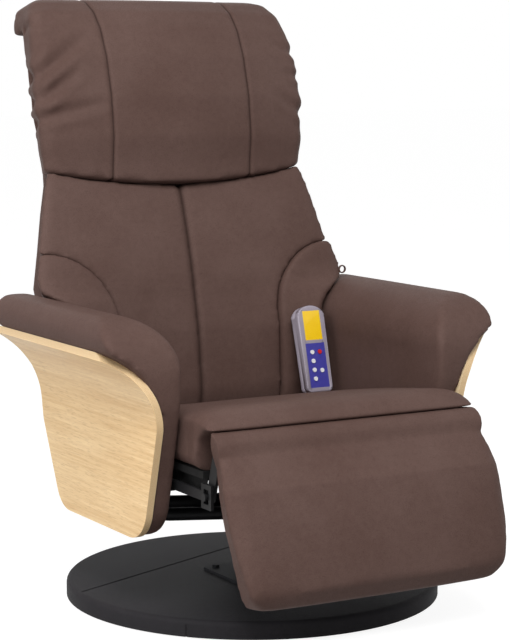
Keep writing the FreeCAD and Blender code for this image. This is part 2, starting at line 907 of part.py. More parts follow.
def hinge_bracket():
    """A plate along the rail's inner face that turns up to the hinge line behind the seat."""
    lower = rail_bottom + size("platform_lip")
    upper = rail_top - size("platform_lip")
    front = frame_back - size("hinge_plate_reach")
    outline = [
        (front, lower),
        (hinge_y + plate_width / 2, lower),
        (hinge_y + plate_width / 2, hinge_z),
        (hinge_y - plate_width / 2, hinge_z),
        (hinge_y - plate_width / 2, upper),
        (front, upper),
    ]
    leg = plate("YZ", outline, hinge_plate, rail_inner - hinge_plate)
    boss = rod("X", size("hinge_boss_radius"), hinge_plate, rail_inner - hinge_plate, hinge_y, hinge_z)
    eye_start = rail_inner - hinge_plate - overrun
    eye = rod("X", frame_tube + running, hinge_plate + overrun * 2, eye_start, hinge_y, hinge_z)
    return cut(fuse(leg, boss), eye)


both_sides("back_hinge_bracket", hinge_bracket())

# The back is built upright about its hinge line; its face looks to the front, along -Y.

face_plane = -frame_tube - size("strap_thickness") - gap


def on_back(name, thing):
    return piece(name, lean(thing, ZERO, hinge_y, hinge_z, tilt))


def pair_on_back(name, maker):
    for side, word in ((1, "right"), (-1, "left")):
        on_back(f"{name}_{word}", maker(side))


hinge_half = size("hinge_tube_half_length")
hinge_tube = rod("X", frame_tube, hinge_half * 2, -hinge_half)
on_back("back_hinge_tube", hinge_tube)
upright_x = size("upright_spacing")
upright_top = size("upright_length")


def upright(side):
    tube = rod("Z", frame_tube, upright_top, upright_x * side)
    return cut(tube, rod("X", frame_tube, hinge_half * 2, -hinge_half))


pair_on_back("back_upright", upright)
top_tube_z = upright_top + frame_tube
top_half = upright_x + frame_tube
on_back("back_top_tube", rod("X", frame_tube, top_half * 2, -top_half, ZERO, top_tube_z))

strap_half = size("strap_half_length")
strap_width = size("strap_width")


def straps():
    bands = []
    for share in STRAP_SHARES:
        low = upright_top * share - strap_width / 2
        depth = (face_plane, face_plane + size("strap_thickness"))
        bands.append(box((-strap_half, strap_half), depth, (low, low + strap_width)))
    return bands


on_back("back_straps", group(*straps()))


def drum_pair(z, spare):
    """Two motors behind the padding, flat against a strap."""
    return group(*motor_pair("Y", face_plane - motor_height - spare, z, spare))


lumbar_z = size("lumbar_motor_height")
head_z = size("head_motor_height")
on_back("lumbar_motors", drum_pair(lumbar_z, ZERO))
on_back("head_motors", drum_pair(head_z, ZERO))

back_face = float(face_plane)
back_low = float(rail_top + size("back_lift") - hinge_z)
back_high = float(size("back_height"))


def back_section(z, half, thickness, wing):
    """One level of the back: narrower behind, wings that come forward, two lobes with a seam between."""
    shares = BACK_SECTION_SHARES
    edge = half * shares["edge"]
    rear = half * shares["rear"]
    edge_y = back_face - wing * shares["edge_depth"]
    side_y = back_face - wing
    seam = Vector(0, back_face - thickness * shares["seam_depth"], z)
    lobe_x = half * shares["lobe"]
    lobe_y = back_face - thickness
    return closed_wire(
        Vector(rear, back_face, z),
        Vector(half, side_y, z),
        Vector(edge, edge_y, z),
        (Vector(lobe_x, lobe_y, z), seam),
        (Vector(-lobe_x, lobe_y, z), Vector(-edge, edge_y, z)),
        Vector(-half, side_y, z),
        Vector(-rear, back_face, z),
        Vector(rear, back_face, z),
    )


def back_levels():
    """Heights of the outline's levels with the half width there, and its shares of the thickness."""
    half = float(size("back_half_width"))
    length = back_high - back_low
    rows = BACK_OUTLINE_SHARES
    return [(back_low + length * height, half * width, *depths) for height, width, *depths in rows]


def back_form(thickness):
    levels = back_levels()
    sections = [back_section(z, half, thickness * depth, thickness * wing) for z, half, depth, wing in levels]
    return Part.makeLoft(sections, True, True)


def through_back(loop):
    """A block of a front outline through the whole depth of the back."""
    depth = float(size("head_thickness") + size("head_lap") + overrun * 2)
    loop.translate(Vector(0, -depth, 0))
    return prism(loop, Vector(0, depth * 2, 0))


def above_smile(lift):
    """Everything above the curved lower edge of the head cushion."""
    half = float(size("back_half_width") + overrun)
    side = float(size("smile_side")) + lift
    centre = float(size("smile_centre")) + lift
    top = float(size("head_top") + overrun)
    return through_back(closed_wire(
        Vector(-half, 0, side),
        (Vector(0, 0, centre), Vector(half, 0, side)),
        Vector(half, 0, top),
        Vector(-half, 0, top),
        Vector(-half, 0, side),
    ))


def corner_block(spare):
    """Lower right corner of the back, outside the curved seam of its bolster."""
    inner = float(size("bolster_inner")) + spare
    radius = float(size("bolster_radius")) - spare
    start = back_low + float(size("bolster_start"))
    centre_x = inner + radius
    outer = float(size("back_half_width") + overrun)
    low = back_low - float(overrun)
    slant = radius * DIAGONAL_SHARE
    way = Vector(centre_x - slant, 0, start + slant)
    return through_back(closed_wire(
        Vector(inner, 0, low),
        Vector(inner, 0, start),
        (way, Vector(centre_x, 0, start + radius)),
        Vector(outer, 0, start + radius),
        Vector(outer, 0, low),
        Vector(inner, 0, low),
    ))


def other_side(shape):
    return shape.mirror(Vector(), Vector(1, 0, 0))


def channel_slab(x):
    width = float(size("channel_width"))
    depth = float(size("head_thickness")) * 2
    height = float(size("head_top")) - back_low
    return Part.makeBox(width, depth, height, Vector(x - width / 2, -depth, back_low))


channel_shift = Vector(0, float(size("channel_depth")), 0)


def back_cushion():
    form = back_form(float(size("back_thickness")))
    corner = corner_block(0.0)
    form = form.cut(above_smile(0.0)).cut(corner).cut(other_side(corner))
    return sewn_channel(form, channel_slab(0.0), channel_shift)


def bolster_form():
    return back_form(float(size("bolster_thickness"))).common(corner_block(float(gap)))


def bolster(side):
    form = bolster_form()
    return cut(solid(form if side > 0 else other_side(form)), boss_room(side))


def boss_room(side):
    """Room behind a bolster for the boss of the fixed hinge plate, about the hinge line."""
    width = hinge_plate + notch_gap * 2
    middle = (rail_inner - hinge_plate / 2) * side
    return rod("X", size("hinge_boss_radius") + notch_gap, width, middle - width / 2)


def head_section(z, half, bulge, rear):
    shares = HEAD_SECTION_SHARES
    edge = half * shares["edge"]
    lap = back_face + float(size("head_lap"))
    edge_y = back_face - bulge * shares["edge_depth"]
    side_y = back_face - bulge * shares["side_depth"]
    return closed_wire(
        Vector(rear, lap, z),
        Vector(half, side_y, z),
        Vector(edge, edge_y, z),
        (Vector(0, back_face - bulge, z), Vector(-edge, edge_y, z)),
        Vector(-half, side_y, z),
        Vector(-rear, lap, z),
        Vector(rear, lap, z),
    )


def head_cushion():
    """A pillow that hangs over the top of the back, with two sewn lines down its face."""
    low = float(size("smile_centre") - overrun / 2)
    length = float(size("head_top")) - low
    sections = []
    for height_share, width_share, bulge_share, rear_share in HEAD_OUTLINE_SHARES:
        half = float(size("head_half_width")) * width_share
        bulge = float(size("head_thickness")) * bulge_share
        sections.append(head_section(low + length * height_share, half, bulge, half * rear_share))
    form = Part.makeLoft(sections, True, True).common(above_smile(float(gap)))
    half = float(size("head_half_width") + overrun)
    frame_room = float(size("shell_top") + gap) - back_low
    form = form.cut(Part.makeBox(half * 2, half, frame_room, Vector(-half, back_face, back_low)))
    for side in (-1, 1):
        form = sewn_channel(form, channel_slab(float(size("head_seam_spacing")) * side), channel_shift)
    return form


motor_rooms = [drum_pair(lumbar_z, gap), drum_pair(head_z, gap)]
on_back("back_cushion", cut(solid(back_cushion()), *motor_rooms))
pair_on_back("back_bolster", bolster)
on_back("head_cushion", cut(solid(head_cushion()), *motor_rooms))


def shell_loop(inset, low, top):
    """Front outline of the rear shell, inside the padding and round the frame's uprights."""
    rear = BACK_SECTION_SHARES["rear"]
    frame_room = float(upright_x + frame_tube + size("shell_rim") + gap)
    levels = [(z, half * rear) for z, half, *_ in back_levels() if low < z < top]
    levels = [(low, levels[0][1])] + levels + [(top, float(size("head_half_width")) * rear)]
    outer = [(z, max(half - float(size("shell_inset")), frame_room)) for z, half in levels]
    right = [Vector(half - inset, 0, z) for z, half in outer]
    left = [Vector(-point.x, 0, point.z) for point in reversed(right)]
    return Part.makePolygon(right + left + right[:1])


def back_shell():
    """A shallow tray behind the frame, open towards the padding and at its lower end."""
    rim = float(size("shell_rim"))
    low = float(size("shell_bottom"))
    top = float(size("shell_top"))
    rear = float(frame_tube + gap)
    floor = float(size("shell_floor"))
    front = back_face + float(gap)
    outer = shell_loop(0.0, low, top)
    outer.translate(Vector(0, front, 0))
    inner = shell_loop(rim, low - rim, top - rim)
    inner.translate(Vector(0, front, 0))
    tray = prism(outer, Vector(0, rear + floor - front, 0))
    return tray.cut(prism(inner, Vector(0, rear - front, 0)))


on_back("back_shell", solid(back_shell()))

# Levers under the back, with the pins that the links turn on.

link = size("link_thickness")
pin = size("pin_radius")
lever_half = size("lever_half_width")
link_inner = hinge_half + link + size("link_gap")
pin_start = hinge_half
pin_length = link_inner + link + size("link_gap") + size("pin_head") - pin_start
lever_foot = rail_top - size("link_drop")


def on_world_pair(name, thing):
    return piece(name, group(thing, mirrored(thing)))


def recline_lever():
    outline = [
        (hinge_y - lever_half, lever_foot),
        (hinge_y + lever_half, lever_foot),
        (hinge_y + lever_half, hinge_z),
        (hinge_y - lever_half, hinge_z),
    ]
    bar = plate("YZ", outline, link, hinge_half)
    ends = [rod("X", lever_half, link, hinge_half, hinge_y, z) for z in (lever_foot, hinge_z)]
    eye = rod("X", pin + hole_clearance, link + overrun * 2, hinge_half - overrun, hinge_y, lever_foot)
    return cut(fuse(bar, *ends), eye)


def link_pin(y, z):
    shank = rod("X", pin, pin_length, pin_start, y, z)
    head = rod("X", pin * PIN_HEAD_SHARE, size("pin_head"), pin_start + pin_length - size("pin_head"), y, z)
    return fuse(shank, head)


on_world_pair("recline_levers", recline_lever())
on_world_pair("lever_pins", link_pin(hinge_y, lever_foot))

# Footrest: a padded paddle that turns about the rod in its knuckle.

foot_tilt = size("footrest_tilt")
crank_turn = math.radians(float(size("crank_angle")))
crank_y = knee_y + size("crank_radius") * math.sin(crank_turn)
crank_z = knee_z - size("crank_radius") * math.cos(crank_turn)
rod_radius = size("rod_radius")
rod_half = size("rod_half_length")
crank_half = size("crank_half_width")


def on_footrest(name, thing):
    return piece(name, lean(thing, ZERO, knee_y, knee_z, foot_tilt))


def footrest_section(x, lost):
    """One side view of the pad: round at the hinge, bowed in front, flat behind."""
    draw = float(size("footrest_draw")) * lost
    crown = float(size("footrest_crown")) * (1 - lost)
    shares = FOOTREST_SHARES
    radius = float(knuckle) - draw * shares["knuckle"]
    back = float(size("footrest_back")) - draw * shares["back"]
    end = -float(size("footrest_length")) + draw * shares["end"]
    round_end = float(size("footrest_corner")) / 2
    neck = -math.sqrt(radius * radius - back * back)
    front_low = Vector(x, -radius + draw * shares["front"], end + round_end)
    middle = Vector(x, -radius - crown, end / 2)
    sole = Vector(x, -radius * shares["sole"], end)
    heel = Vector(x, back, end + round_end / 2)
    slant = radius * DIAGONAL_SHARE
    behind = Vector(x, math.sqrt(radius * radius - neck * neck / 4), -neck / 2)
    return closed_wire(
        heel,
        Vector(x, back, neck),
        (behind, Vector(x, 0, radius)),
        (Vector(x, -slant, slant), Vector(x, -radius, 0)),
        (middle, front_low),
        sole,
        heel,
    )


def footrest_outline():
    """Front outline of the pad: bowed sides and rounded lower corners."""
    half = float(size("footrest_half_width"))
    draw = float(size("footrest_draw"))
    length = float(size("footrest_length"))
    top = float(knuckle + overrun)
    corner = float(size("footrest_corner"))
    lower = half - draw * FOOTREST_SHARES["lower"]
    slant = corner * (1 - DIAGONAL_SHARE)
    middle = -length / 2
    loop = closed_wire(
        Vector(half - draw, 0, top),
        (Vector(half, 0, middle), Vector(lower, 0, corner - length)),
        (Vector(lower - slant, 0, slant - length), Vector(lower - corner, 0, -length)),
        Vector(corner - lower, 0, -length),
        (Vector(slant - lower, 0, slant - length), Vector(-lower, 0, corner - length)),
        (Vector(-half, 0, middle), Vector(draw - half, 0, top)),
        Vector(half - draw, 0, top),
    )
    reach = float(knuckle + size("footrest_crown") + overrun)
    loop.translate(Vector(0, -reach, 0))
    return prism(loop, Vector(0, reach * 2, 0))


def knuckle_slots():
    """Room in the knuckle for the fixed hinge arms and for the cranks."""
    rooms = []
    reach = knuckle + overrun
    spare = size("link_gap")
    depth = (-rod_radius - spare - crank_half, reach)
    levels = (-size("hinge_arm_reach") - crank_half, reach)
    arm_plate = (size("hinge_arm_spacing"), size("hinge_arm_thickness"))
    for middle, thick in (arm_plate, (hinge_half + link / 2, link)):
        half = thick / 2 + spare
        rooms.append(box((middle - half, middle + half), depth, levels))
    recess_depth = (board_front - size("link_recess"), reach)
    recess_levels = (-size("link_recess_length"), knuckle)
    rooms.append(box((link_inner - spare, link_inner + link + spare), recess_depth, recess_levels))
    return rooms


board_front = size("footrest_back")
slots = group(*knuckle_slots())
rod_bore = rod("X", rod_radius + gap, rod_half * 2 + gap * 2, -rod_half - gap)
footrest_pad = solid(across(float(size("footrest_half_width")), footrest_section).common(footrest_outline()))
on_footrest("footrest_cushion", cut(footrest_pad, slots, mirrored(slots), rod_bore))
on_footrest("footrest_rod", rod("X", rod_radius, rod_half * 2, -rod_half))
board_half = hinge_half
board_low = -size("footrest_length") + size("footrest_board_end")
board_depth = (board_front, board_front + size("footrest_board_thickness"))
footrest_board = box((-board_half, board_half), board_depth, (board_low, -size("footrest_board_top")))
on_footrest("footrest_board", footrest_board)


def footrest_crank():
    """A plate from the hinge rod down to the pin that the link pushes."""
    along = Vector(0, float(crank_y - knee_y), float(crank_z - knee_z)).normalize()
    out_y = crank_half * -along.z
    out_z = crank_half * along.y
    outline = [
        (knee_y + out_y, knee_z + out_z),
        (knee_y - out_y, knee_z - out_z),
        (crank_y - out_y, crank_z - out_z),
        (crank_y + out_y, crank_z + out_z),
    ]
    bar = plate("YZ", outline, link, hinge_half)
    ends = [rod("X", crank_half, link, hinge_half, y, z) for y, z in ((knee_y, knee_z), (crank_y, crank_z))]
    start = hinge_half - overrun
    axle = rod("X", rod_radius + running, link + overrun * 2, start, knee_y, knee_z)
    eye = rod("X", pin + hole_clearance, link + overrun * 2, start, crank_y, crank_z)
    return cut(fuse(bar, *ends), axle, eye)


on_world_pair("footrest_cranks", footrest_crank())
on_world_pair("crank_pins", link_pin(crank_y, crank_z))


def hinge_arm():
    """A fixed arm from under the platform's front edge up to the hinge rod."""
    arm = size("hinge_arm_thickness")
    start = size("hinge_arm_spacing") - arm / 2
    depth = size("hinge_arm_depth")
    room = size("link_gap")
    outline = [
        (platform_front + size("hinge_arm_reach"), rail_top),
        (platform_front + size("hinge_arm_reach"), rail_top - depth),
        (platform_front - depth / 2, rail_top - depth),
        (knee_y - rod_radius * 2, knee_z),
        (knee_y + rod_radius * 2, knee_z + rod_radius),
        (platform_front - room, rail_top + room),
        (platform_front - room, rail_top),
    ]
    bar = plate("YZ", outline, arm, start)
    boss = rod("X", rod_radius * 2.2, arm, start, knee_y, knee_z)
    eye = rod("X", rod_radius + running, arm + overrun * 2, start - overrun, knee_y, knee_z)
    return cut(fuse(bar, boss), eye)


on_world_pair("footrest_hinge_arms", hinge_arm())

# Links: flat bars from the levers under the back to the cranks of the footrest.


def link_bar():
    half = size("link_half_width")
    rear_y = hinge_y
    outline = [
        (crank_y, crank_z - half),
        (rear_y, lever_foot - half),
        (rear_y, lever_foot + half),
        (crank_y, crank_z + half),
    ]
    bar = plate("YZ", outline, link, link_inner)
    rear_end = rod("X", half, link, link_inner, rear_y, lever_foot)
    slot_y = size("slot_half_length") + half
    slot_z = size("slot_half_height") + half
    eye_levels = (crank_z - slot_z, crank_z + slot_z)
    eye_block = box((link_inner, link_inner + link), (crank_y - slot_y, crank_y + slot_y), eye_levels)
    start = link_inner - overrun
    rear_eye = rod("X", pin + running, link + overrun * 2, start, rear_y, lever_foot)
    room_y = size("slot_half_length")
    room_z = size("slot_half_height")
    slot_levels = (crank_z - room_z, crank_z + room_z)
    slot = box((start, start + link + overrun * 2), (crank_y - room_y, crank_y + room_y), slot_levels)
    return cut(fuse(bar, rear_end, eye_block), rear_eye, slot)


both_sides("link_bar", link_bar())

# Folded leather tab sewn to the side of the right bolster.


def sewn_tab():
    """A small round tab brought up to the side of the bolster until only the seating gap is left."""
    target = bolster_form()
    thickness = float(size("tab_thickness"))
    out = target.BoundBox.XMax + float(overrun)
    y = back_face - float(size("tab_depth"))
    middle = Vector(out, y - thickness / 2, float(size("tab_height")))
    tab = Part.makeCylinder(float(size("tab_radius")), thickness, middle, Vector(0, 1, 0))
    for _ in range(SETTLING_STEPS):
        tab.translate(Vector(float(gap) - tab.distToShape(target)[0], 0, 0))
    return solid(tab)


on_back("sewn_tab", sewn_tab())

# Handset: two shells with a screen and a keypad let into the front, and six sprung keys.

hand_half = size("handset_width") / 2
hand_length = size("handset_length")
hand_half_thickness = size("handset_thickness") / 2
inlay = size("inlay_depth")
screen_half = size("screen_width") / 2
screen_high = hand_length - size("screen_top")
screen_low = screen_high - size("screen_height")
keypad_half = size("keypad_width") / 2
keypad_high = screen_low - size("keypad_gap")
keypad_low = keypad_high - size("keypad_height")
hand_front = -hand_half_thickness
key_radius = size("key_radius")
key_proud = size("key_proud")
key_depth = size("key_depth")


def hand_shell(y):
    shell = box((-hand_half, hand_half), y, (ZERO, hand_length))
    return fillet(shell, size("handset_round"), is_lengthwise)


def is_lengthwise(edge):
    return edge.BoundBox.YLength > edge.BoundBox.DiagonalLength / 2


def keys(radius, start, length):
    rods = {}
    for name, (across_share, down_share) in KEY_SHARES.items():
        x = size("key_column") * across_share * 2
        z = keypad_high - size("keypad_height") * down_share
        rods[name] = rod("Y", radius, length, x, start, z)
    return rods


def on_seat(thing):
    """Stands a piece on the seat, leaning towards the back."""
    return lean(thing, size("handset_side"), size("handset_front"), handset_foot, size("handset_tilt"))


def seat_height(x, y):
    """Height of the seat's surface at a point."""
    doc.recompute()
    probe = Part.makeLine(Vector(x, y, float(platform_top)), Vector(x, y, pad_crest))
    return probe.common(PIECES["seat_cushion"].Shape).BoundBox.ZMax


hand_x = float(size("handset_side"))
hand_y = float(size("handset_front"))
foot_turn = math.radians(float(size("handset_tilt")))
foot_drop = float(hand_half_thickness) * math.sin(foot_turn)
foot_depth = float(hand_half_thickness) * math.cos(foot_turn)
foot_corners = [(side, end) for side in (-1, 0, 1) for end in (-1, 1)]


def foot_level(side, end):
    """The lowest that the foot of the handset can stand, by the seat under one of its points."""
    return seat_height(hand_x + side * float(hand_half), hand_y + end * foot_depth) + end * foot_drop


foot_z = max(foot_level(side, end) for side, end in foot_corners) + float(gap)
handset_foot = Size(foot_z, repr(foot_z))

key_start = hand_front - key_proud
key_length = key_depth + key_proud
key_room = group(*keys(key_radius + gap, key_start, key_length + size("key_travel")).values())
screen = box((-screen_half, screen_half), (hand_front, hand_front + inlay), (screen_low, screen_high))
keypad = box((-keypad_half, keypad_half), (hand_front, hand_front + inlay), (keypad_low, keypad_high))
hand_front_shell = cut(hand_shell((hand_front, ZERO)), screen, keypad, key_room)
piece("handset_front", on_seat(hand_front_shell))
piece("handset_rear", on_seat(hand_shell((ZERO, hand_half_thickness))))
piece("handset_keypad", on_seat(cut(keypad, key_room)))
piece("handset_screen", on_seat(screen))
for key_name, key in keys(key_radius, key_start, key_length).items():
    piece(f"key_{key_name}", on_seat(key))

doc.recompute()


def check(name, thing):
    """Stops at a piece that did not build."""
    if thing.Shape.isNull() or not thing.Shape.isValid():
        raise RuntimeError(f"{name} has no valid shape")
    if not thing.Shape.Solids:
        raise RuntimeError(f"{name} has no solid")


for thing in doc.Objects:
    if "Invalid" in thing.State or "Error" in thing.State:
        raise RuntimeError(f"{thing.Label} failed: {thing.State}")
for name, thing in PIECES.items():
    check(name, thing)
os.makedirs("parts", exist_ok=True)
for name, thing in PIECES.items():
    thing.Shape.exportStep(f"parts/{name}.step")
print(len(PIECES), "pieces")
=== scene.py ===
"""A swivel recliner with massage motors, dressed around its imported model."""

import json
import math

import bmesh
import bpy
import numpy as np
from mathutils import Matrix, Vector
from mathutils.bvhtree import BVHTree


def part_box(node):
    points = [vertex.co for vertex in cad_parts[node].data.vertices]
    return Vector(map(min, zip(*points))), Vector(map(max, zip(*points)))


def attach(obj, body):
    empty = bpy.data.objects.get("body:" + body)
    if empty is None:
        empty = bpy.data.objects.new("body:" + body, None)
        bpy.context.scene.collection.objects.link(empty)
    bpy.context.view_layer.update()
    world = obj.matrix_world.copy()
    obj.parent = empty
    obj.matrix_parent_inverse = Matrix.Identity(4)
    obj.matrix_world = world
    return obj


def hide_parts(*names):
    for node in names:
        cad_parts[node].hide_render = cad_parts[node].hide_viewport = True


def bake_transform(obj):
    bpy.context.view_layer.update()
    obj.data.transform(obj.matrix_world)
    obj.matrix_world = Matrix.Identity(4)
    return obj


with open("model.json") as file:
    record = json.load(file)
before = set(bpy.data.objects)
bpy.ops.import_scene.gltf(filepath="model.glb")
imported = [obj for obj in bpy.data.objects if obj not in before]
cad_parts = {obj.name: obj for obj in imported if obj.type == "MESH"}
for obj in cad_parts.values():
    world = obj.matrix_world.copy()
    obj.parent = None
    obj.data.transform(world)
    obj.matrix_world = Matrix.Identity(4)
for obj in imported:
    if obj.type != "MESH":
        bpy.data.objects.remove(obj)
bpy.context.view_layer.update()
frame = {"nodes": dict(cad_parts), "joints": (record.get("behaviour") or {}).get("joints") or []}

# Round base.
# A board in a black leather-look cover, sewn along one line across the top and once up the rim.
# A felt disc under it keeps it from marking the floor.

BASE_SIDES = 160
BASE_EDGE, BASE_EDGE_STEPS = 0.009, 5
BASE_SKIN = 0.0014
SEAM_HALF, SEAM_DEPTH = 0.0022, 0.0018
BASE_SEAM = (Vector((-0.263, 0.051, 0.0)), Vector((0.023, 0.170, 0.0)))
RIM_SEAM = Vector((-0.756, -0.655, 0.0))
MICRON = 1e-6
SOFT_ANGLE = math.radians(35)
# How many pebbles, pores and so on the leather has to a metre, and how deep its grain and creases are.
PEBBLES, PORES, MOTTLE, CREASES, CLOUDS = 560.0, 1700.0, 90.0, 38.0, 7.0
PEBBLE_GROOVE = 0.16
GRAIN_DEPTH, CREASE_DEPTH = 0.00022, 0.0016


class Wire:
    """An output of a node that takes part in sums: each operator adds a Math node."""

    def __init__(self, finish, socket):
        self.finish = finish
        self.socket = socket

    def math(self, operation, *values):
        return self.finish.add("ShaderNodeMath", {"operation": operation}, dict(enumerate(values)))

    def __add__(self, other):
        return self.math("ADD", self, other)

    def __sub__(self, other):
        return self.math("SUBTRACT", self, other)

    def __rsub__(self, other):
        return self.math("SUBTRACT", other, self)

    def __mul__(self, other):
        return self.math("MULTIPLY", self, other)

    def __truediv__(self, other):
        return self.math("DIVIDE", self, other)

    __radd__ = __add__
    __rmul__ = __mul__

    def alone(self, operation):
        """What an operation on this value alone gives, such as its root."""
        return self.math(operation, self)

    def held(self, low, high):
        """The value, kept between two limits."""
        return self.math("MINIMUM", self.math("MAXIMUM", self, low), high)

    def step(self, start, end):
        """0 before start, 1 after end and even between them."""
        return ((self - start) / (end - start)).held(0.0, 1.0)


class Finish:
    """A material: a shader with its own settings, and the nodes that feed it."""

    def __init__(self, name, settings):
        self.material = bpy.data.materials.new(name)
        self.material.use_nodes = True
        self.nodes = self.material.node_tree.nodes
        self.links = self.material.node_tree.links
        self.shader = self.nodes["Principled BSDF"]
        self.feed(self.shader, settings)
        self.place = self.add("ShaderNodeTexCoord", output="Object")

    def feed(self, node, values):
        for key, value in values.items():
            if isinstance(value, Wire):
                self.links.new(value.socket, node.inputs[key])
            else:
                node.inputs[key].default_value = value

    def add(self, kind, settings=None, values=None, output=0):
        """Adds a node: its settings come first, then the values or links of its inputs."""
        node = self.nodes.new(kind)
        for name, value in (settings or {}).items():
            setattr(node, name, value)
        self.feed(node, values or {})
        return Wire(self, node.outputs[output])

    def noise(self, scale, detail=2.0, stretch=(1, 1, 1), rough=0.5):
        """Cloudy values about a half; stretch squeezes the pattern along each axis."""
        way = self.add("ShaderNodeMapping", values={"Vector": self.place, "Scale": stretch})
        values = {"Vector": way, "Scale": scale, "Detail": detail, "Roughness": rough}
        return self.add("ShaderNodeTexNoise", values=values)

    def cells(self, scale):
        """How far a point is from the border of its cell, in cells."""
        values = {"Vector": self.place, "Scale": scale}
        return self.add("ShaderNodeTexVoronoi", {"feature": "DISTANCE_TO_EDGE"}, values, "Distance")

    def mixed(self, share, first, second):
        return self.add("ShaderNodeMix", {"data_type": "RGBA"}, {0: share, 6: first, 7: second}, 2)

    def tinted(self, share, first, second):
        """A mix of two colours that are given as they look on a screen."""
        return self.mixed(share, tone(*first), tone(*second))

    def mark(self, name):
        """A value that a piece carries on its points."""
        return self.add("ShaderNodeAttribute", {"attribute_name": name}, output="Fac")

    def bumped(self, height, depth, strength=1.0, under=None):
        values = {"Height": height, "Distance": depth, "Strength": strength}
        if under is not None:
            values["Normal"] = under
        return self.add("ShaderNodeBump", values=values, output="Normal")

    def show(self, **values):
        """Feeds the shader; an underscore stands for a space in an input's name."""
        self.feed(self.shader, {key.replace("_", " "): value for key, value in values.items()})
        return self


def tone(red, green, blue):
    """A colour as it looks on a screen, as the linear values that a shader takes."""
    linear = [((c / 255 + 0.055) / 1.055) ** 2.4 for c in (red, green, blue)]
    return (*linear, 1.0)


def leather(name, dark, light, recess_shade, roughness, gloss):
    """Pebbled leather: fine grain, faint clouds of colour, and painted shade in the grooves between its
    pebbles and along its sewn lines.
    """
    finish = Finish(name, {"Specular IOR Level": gloss})
    pebbles = finish.cells(PEBBLES).step(0.0, PEBBLE_GROOVE)
    grooves = 1 - pebbles
    pores = finish.noise(PORES, 1.0)
    clouds = finish.noise(CLOUDS, 3.0)
    seam = finish.mark("seam")
    colour = finish.tinted((clouds * 0.75 + finish.noise(MOTTLE) * 0.25).step(0.3, 0.7), dark, light)
    # Painted shade: the grooves between the pebbles are mixed part of the way towards a dark shade colour.
    colour = finish.mixed(grooves * 0.35, colour, tone(*recess_shade))
    grain = finish.bumped(pebbles + pores * 0.35, GRAIN_DEPTH, 0.5)
    return finish.show(
        # Painted shade: the sunken sewn lines are mixed most of the way towards the same dark shade colour.
        Base_Color=finish.mixed(seam * 0.8, colour, tone(*recess_shade)),
        Roughness=(roughness + (clouds - 0.5) * 0.1 + grooves * 0.12 + seam * 0.2).held(0.0, 1.0),
        Normal=finish.bumped(finish.noise(CREASES, 3.0), CREASE_DEPTH, 0.25, grain),
    )


def take(piece):
    """Makes a piece the only one that is selected."""
    bpy.ops.object.select_all(action="DESELECT")
    piece.select_set(True)
    bpy.context.view_layer.objects.active = piece


def finished(piece, kind, **settings):
    """Adds a modifier to a piece and applies it."""
    take(piece)
    modifier = piece.modifiers.new(kind.lower(), kind)
    for name, value in settings.items():
        setattr(modifier, name, value)
    bpy.ops.object.modifier_apply(modifier=modifier.name)


def unsewn(piece):
    """Gives a piece the marks that its leather reads along sewn lines, all blank so far."""
    return piece.data.attributes.new("seam", "FLOAT", "POINT")


def stand_for(piece, node, body, finish):
    """Gives a piece its finish, and puts it in the place of a solid of the frame."""
    piece.data.materials.clear()
    piece.data.materials.append(finish.material)
    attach(piece, body)
    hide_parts(node)


def dress(finish, *nodes):
    """Gives solids of the frame their finish."""
    for node in nodes:
        slots = frame["nodes"][node].data.materials
        slots.clear()
        slots.append(finish.material)


def choose(kind, test):
    """In edit mode, selects only the parts of the mesh whose corners all pass a test."""
    bpy.ops.mesh.select_all(action="DESELECT")
    bpy.ops.mesh.select_mode(type=kind)
    shape = bmesh.from_edit_mesh(bpy.context.object.data)
    parts = {"VERT": shape.verts, "EDGE": shape.edges, "FACE": shape.faces}[kind]
    for part in parts:
        corners = [part] if kind == "VERT" else part.verts
        if all(test(corner.co) for corner in corners):
            part.select_set(True)
    bmesh.update_edit_mesh(bpy.context.object.data)


base_low, base_high = (Vector(corner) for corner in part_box("base_cover"))
seam_way = (BASE_SEAM[1] - BASE_SEAM[0]).normalized()
seam_side = Vector((-seam_way.y, seam_way.x, 0.0))
rim_side = Vector((-RIM_SEAM.y, RIM_SEAM.x, 0.0))


def on_top(place):
    return place.z > base_high.z - MICRON


def by_rim_seam(place):
    """True on the upright part of the rim, in the half that has the seam."""
    return place.z < base_high.z - BASE_EDGE + MICRON and place.dot(RIM_SEAM) > 0


def off_base_seam(place):
    return abs((place - BASE_SEAM[0]).dot(seam_side))


bpy.ops.object.select_all(action="DESELECT")
bpy.ops.mesh.primitive_cylinder_add(
    vertices=BASE_SIDES,
    radius=base_high.x,
    depth=base_high.z - base_low.z,
    location=(0, 0, (base_high.z + base_low.z) / 2),
)
base_cover = bpy.context.object
base_cover.name = "base_leather_cover"
bpy.ops.object.transform_apply()
bpy.ops.object.mode_set(mode="EDIT")
choose("FACE", lambda place: place.z < base_low.z + MICRON)
bpy.ops.mesh.delete(type="FACE")
choose("EDGE", on_top)
bpy.ops.mesh.bevel(offset=BASE_EDGE, segments=BASE_EDGE_STEPS)
for shift in (-SEAM_HALF, 0.0, SEAM_HALF):
    choose("FACE", on_top)
    bpy.ops.mesh.bisect(plane_co=BASE_SEAM[0] + seam_side * shift, plane_no=seam_side)
    choose("FACE", by_rim_seam)
    bpy.ops.mesh.bisect(plane_co=rim_side * shift, plane_no=rim_side)
choose("VERT", lambda place: on_top(place) and off_base_seam(place) < MICRON)
bpy.ops.transform.translate(value=(0, 0, -SEAM_DEPTH))
choose("VERT", lambda place: by_rim_seam(place) and abs(place.dot(rim_side)) < MICRON)
bpy.ops.transform.translate(value=RIM_SEAM * -SEAM_DEPTH)
bpy.ops.object.mode_set(mode="OBJECT")
finished(base_cover, "SOLIDIFY", thickness=BASE_SKIN, offset=-1.0)
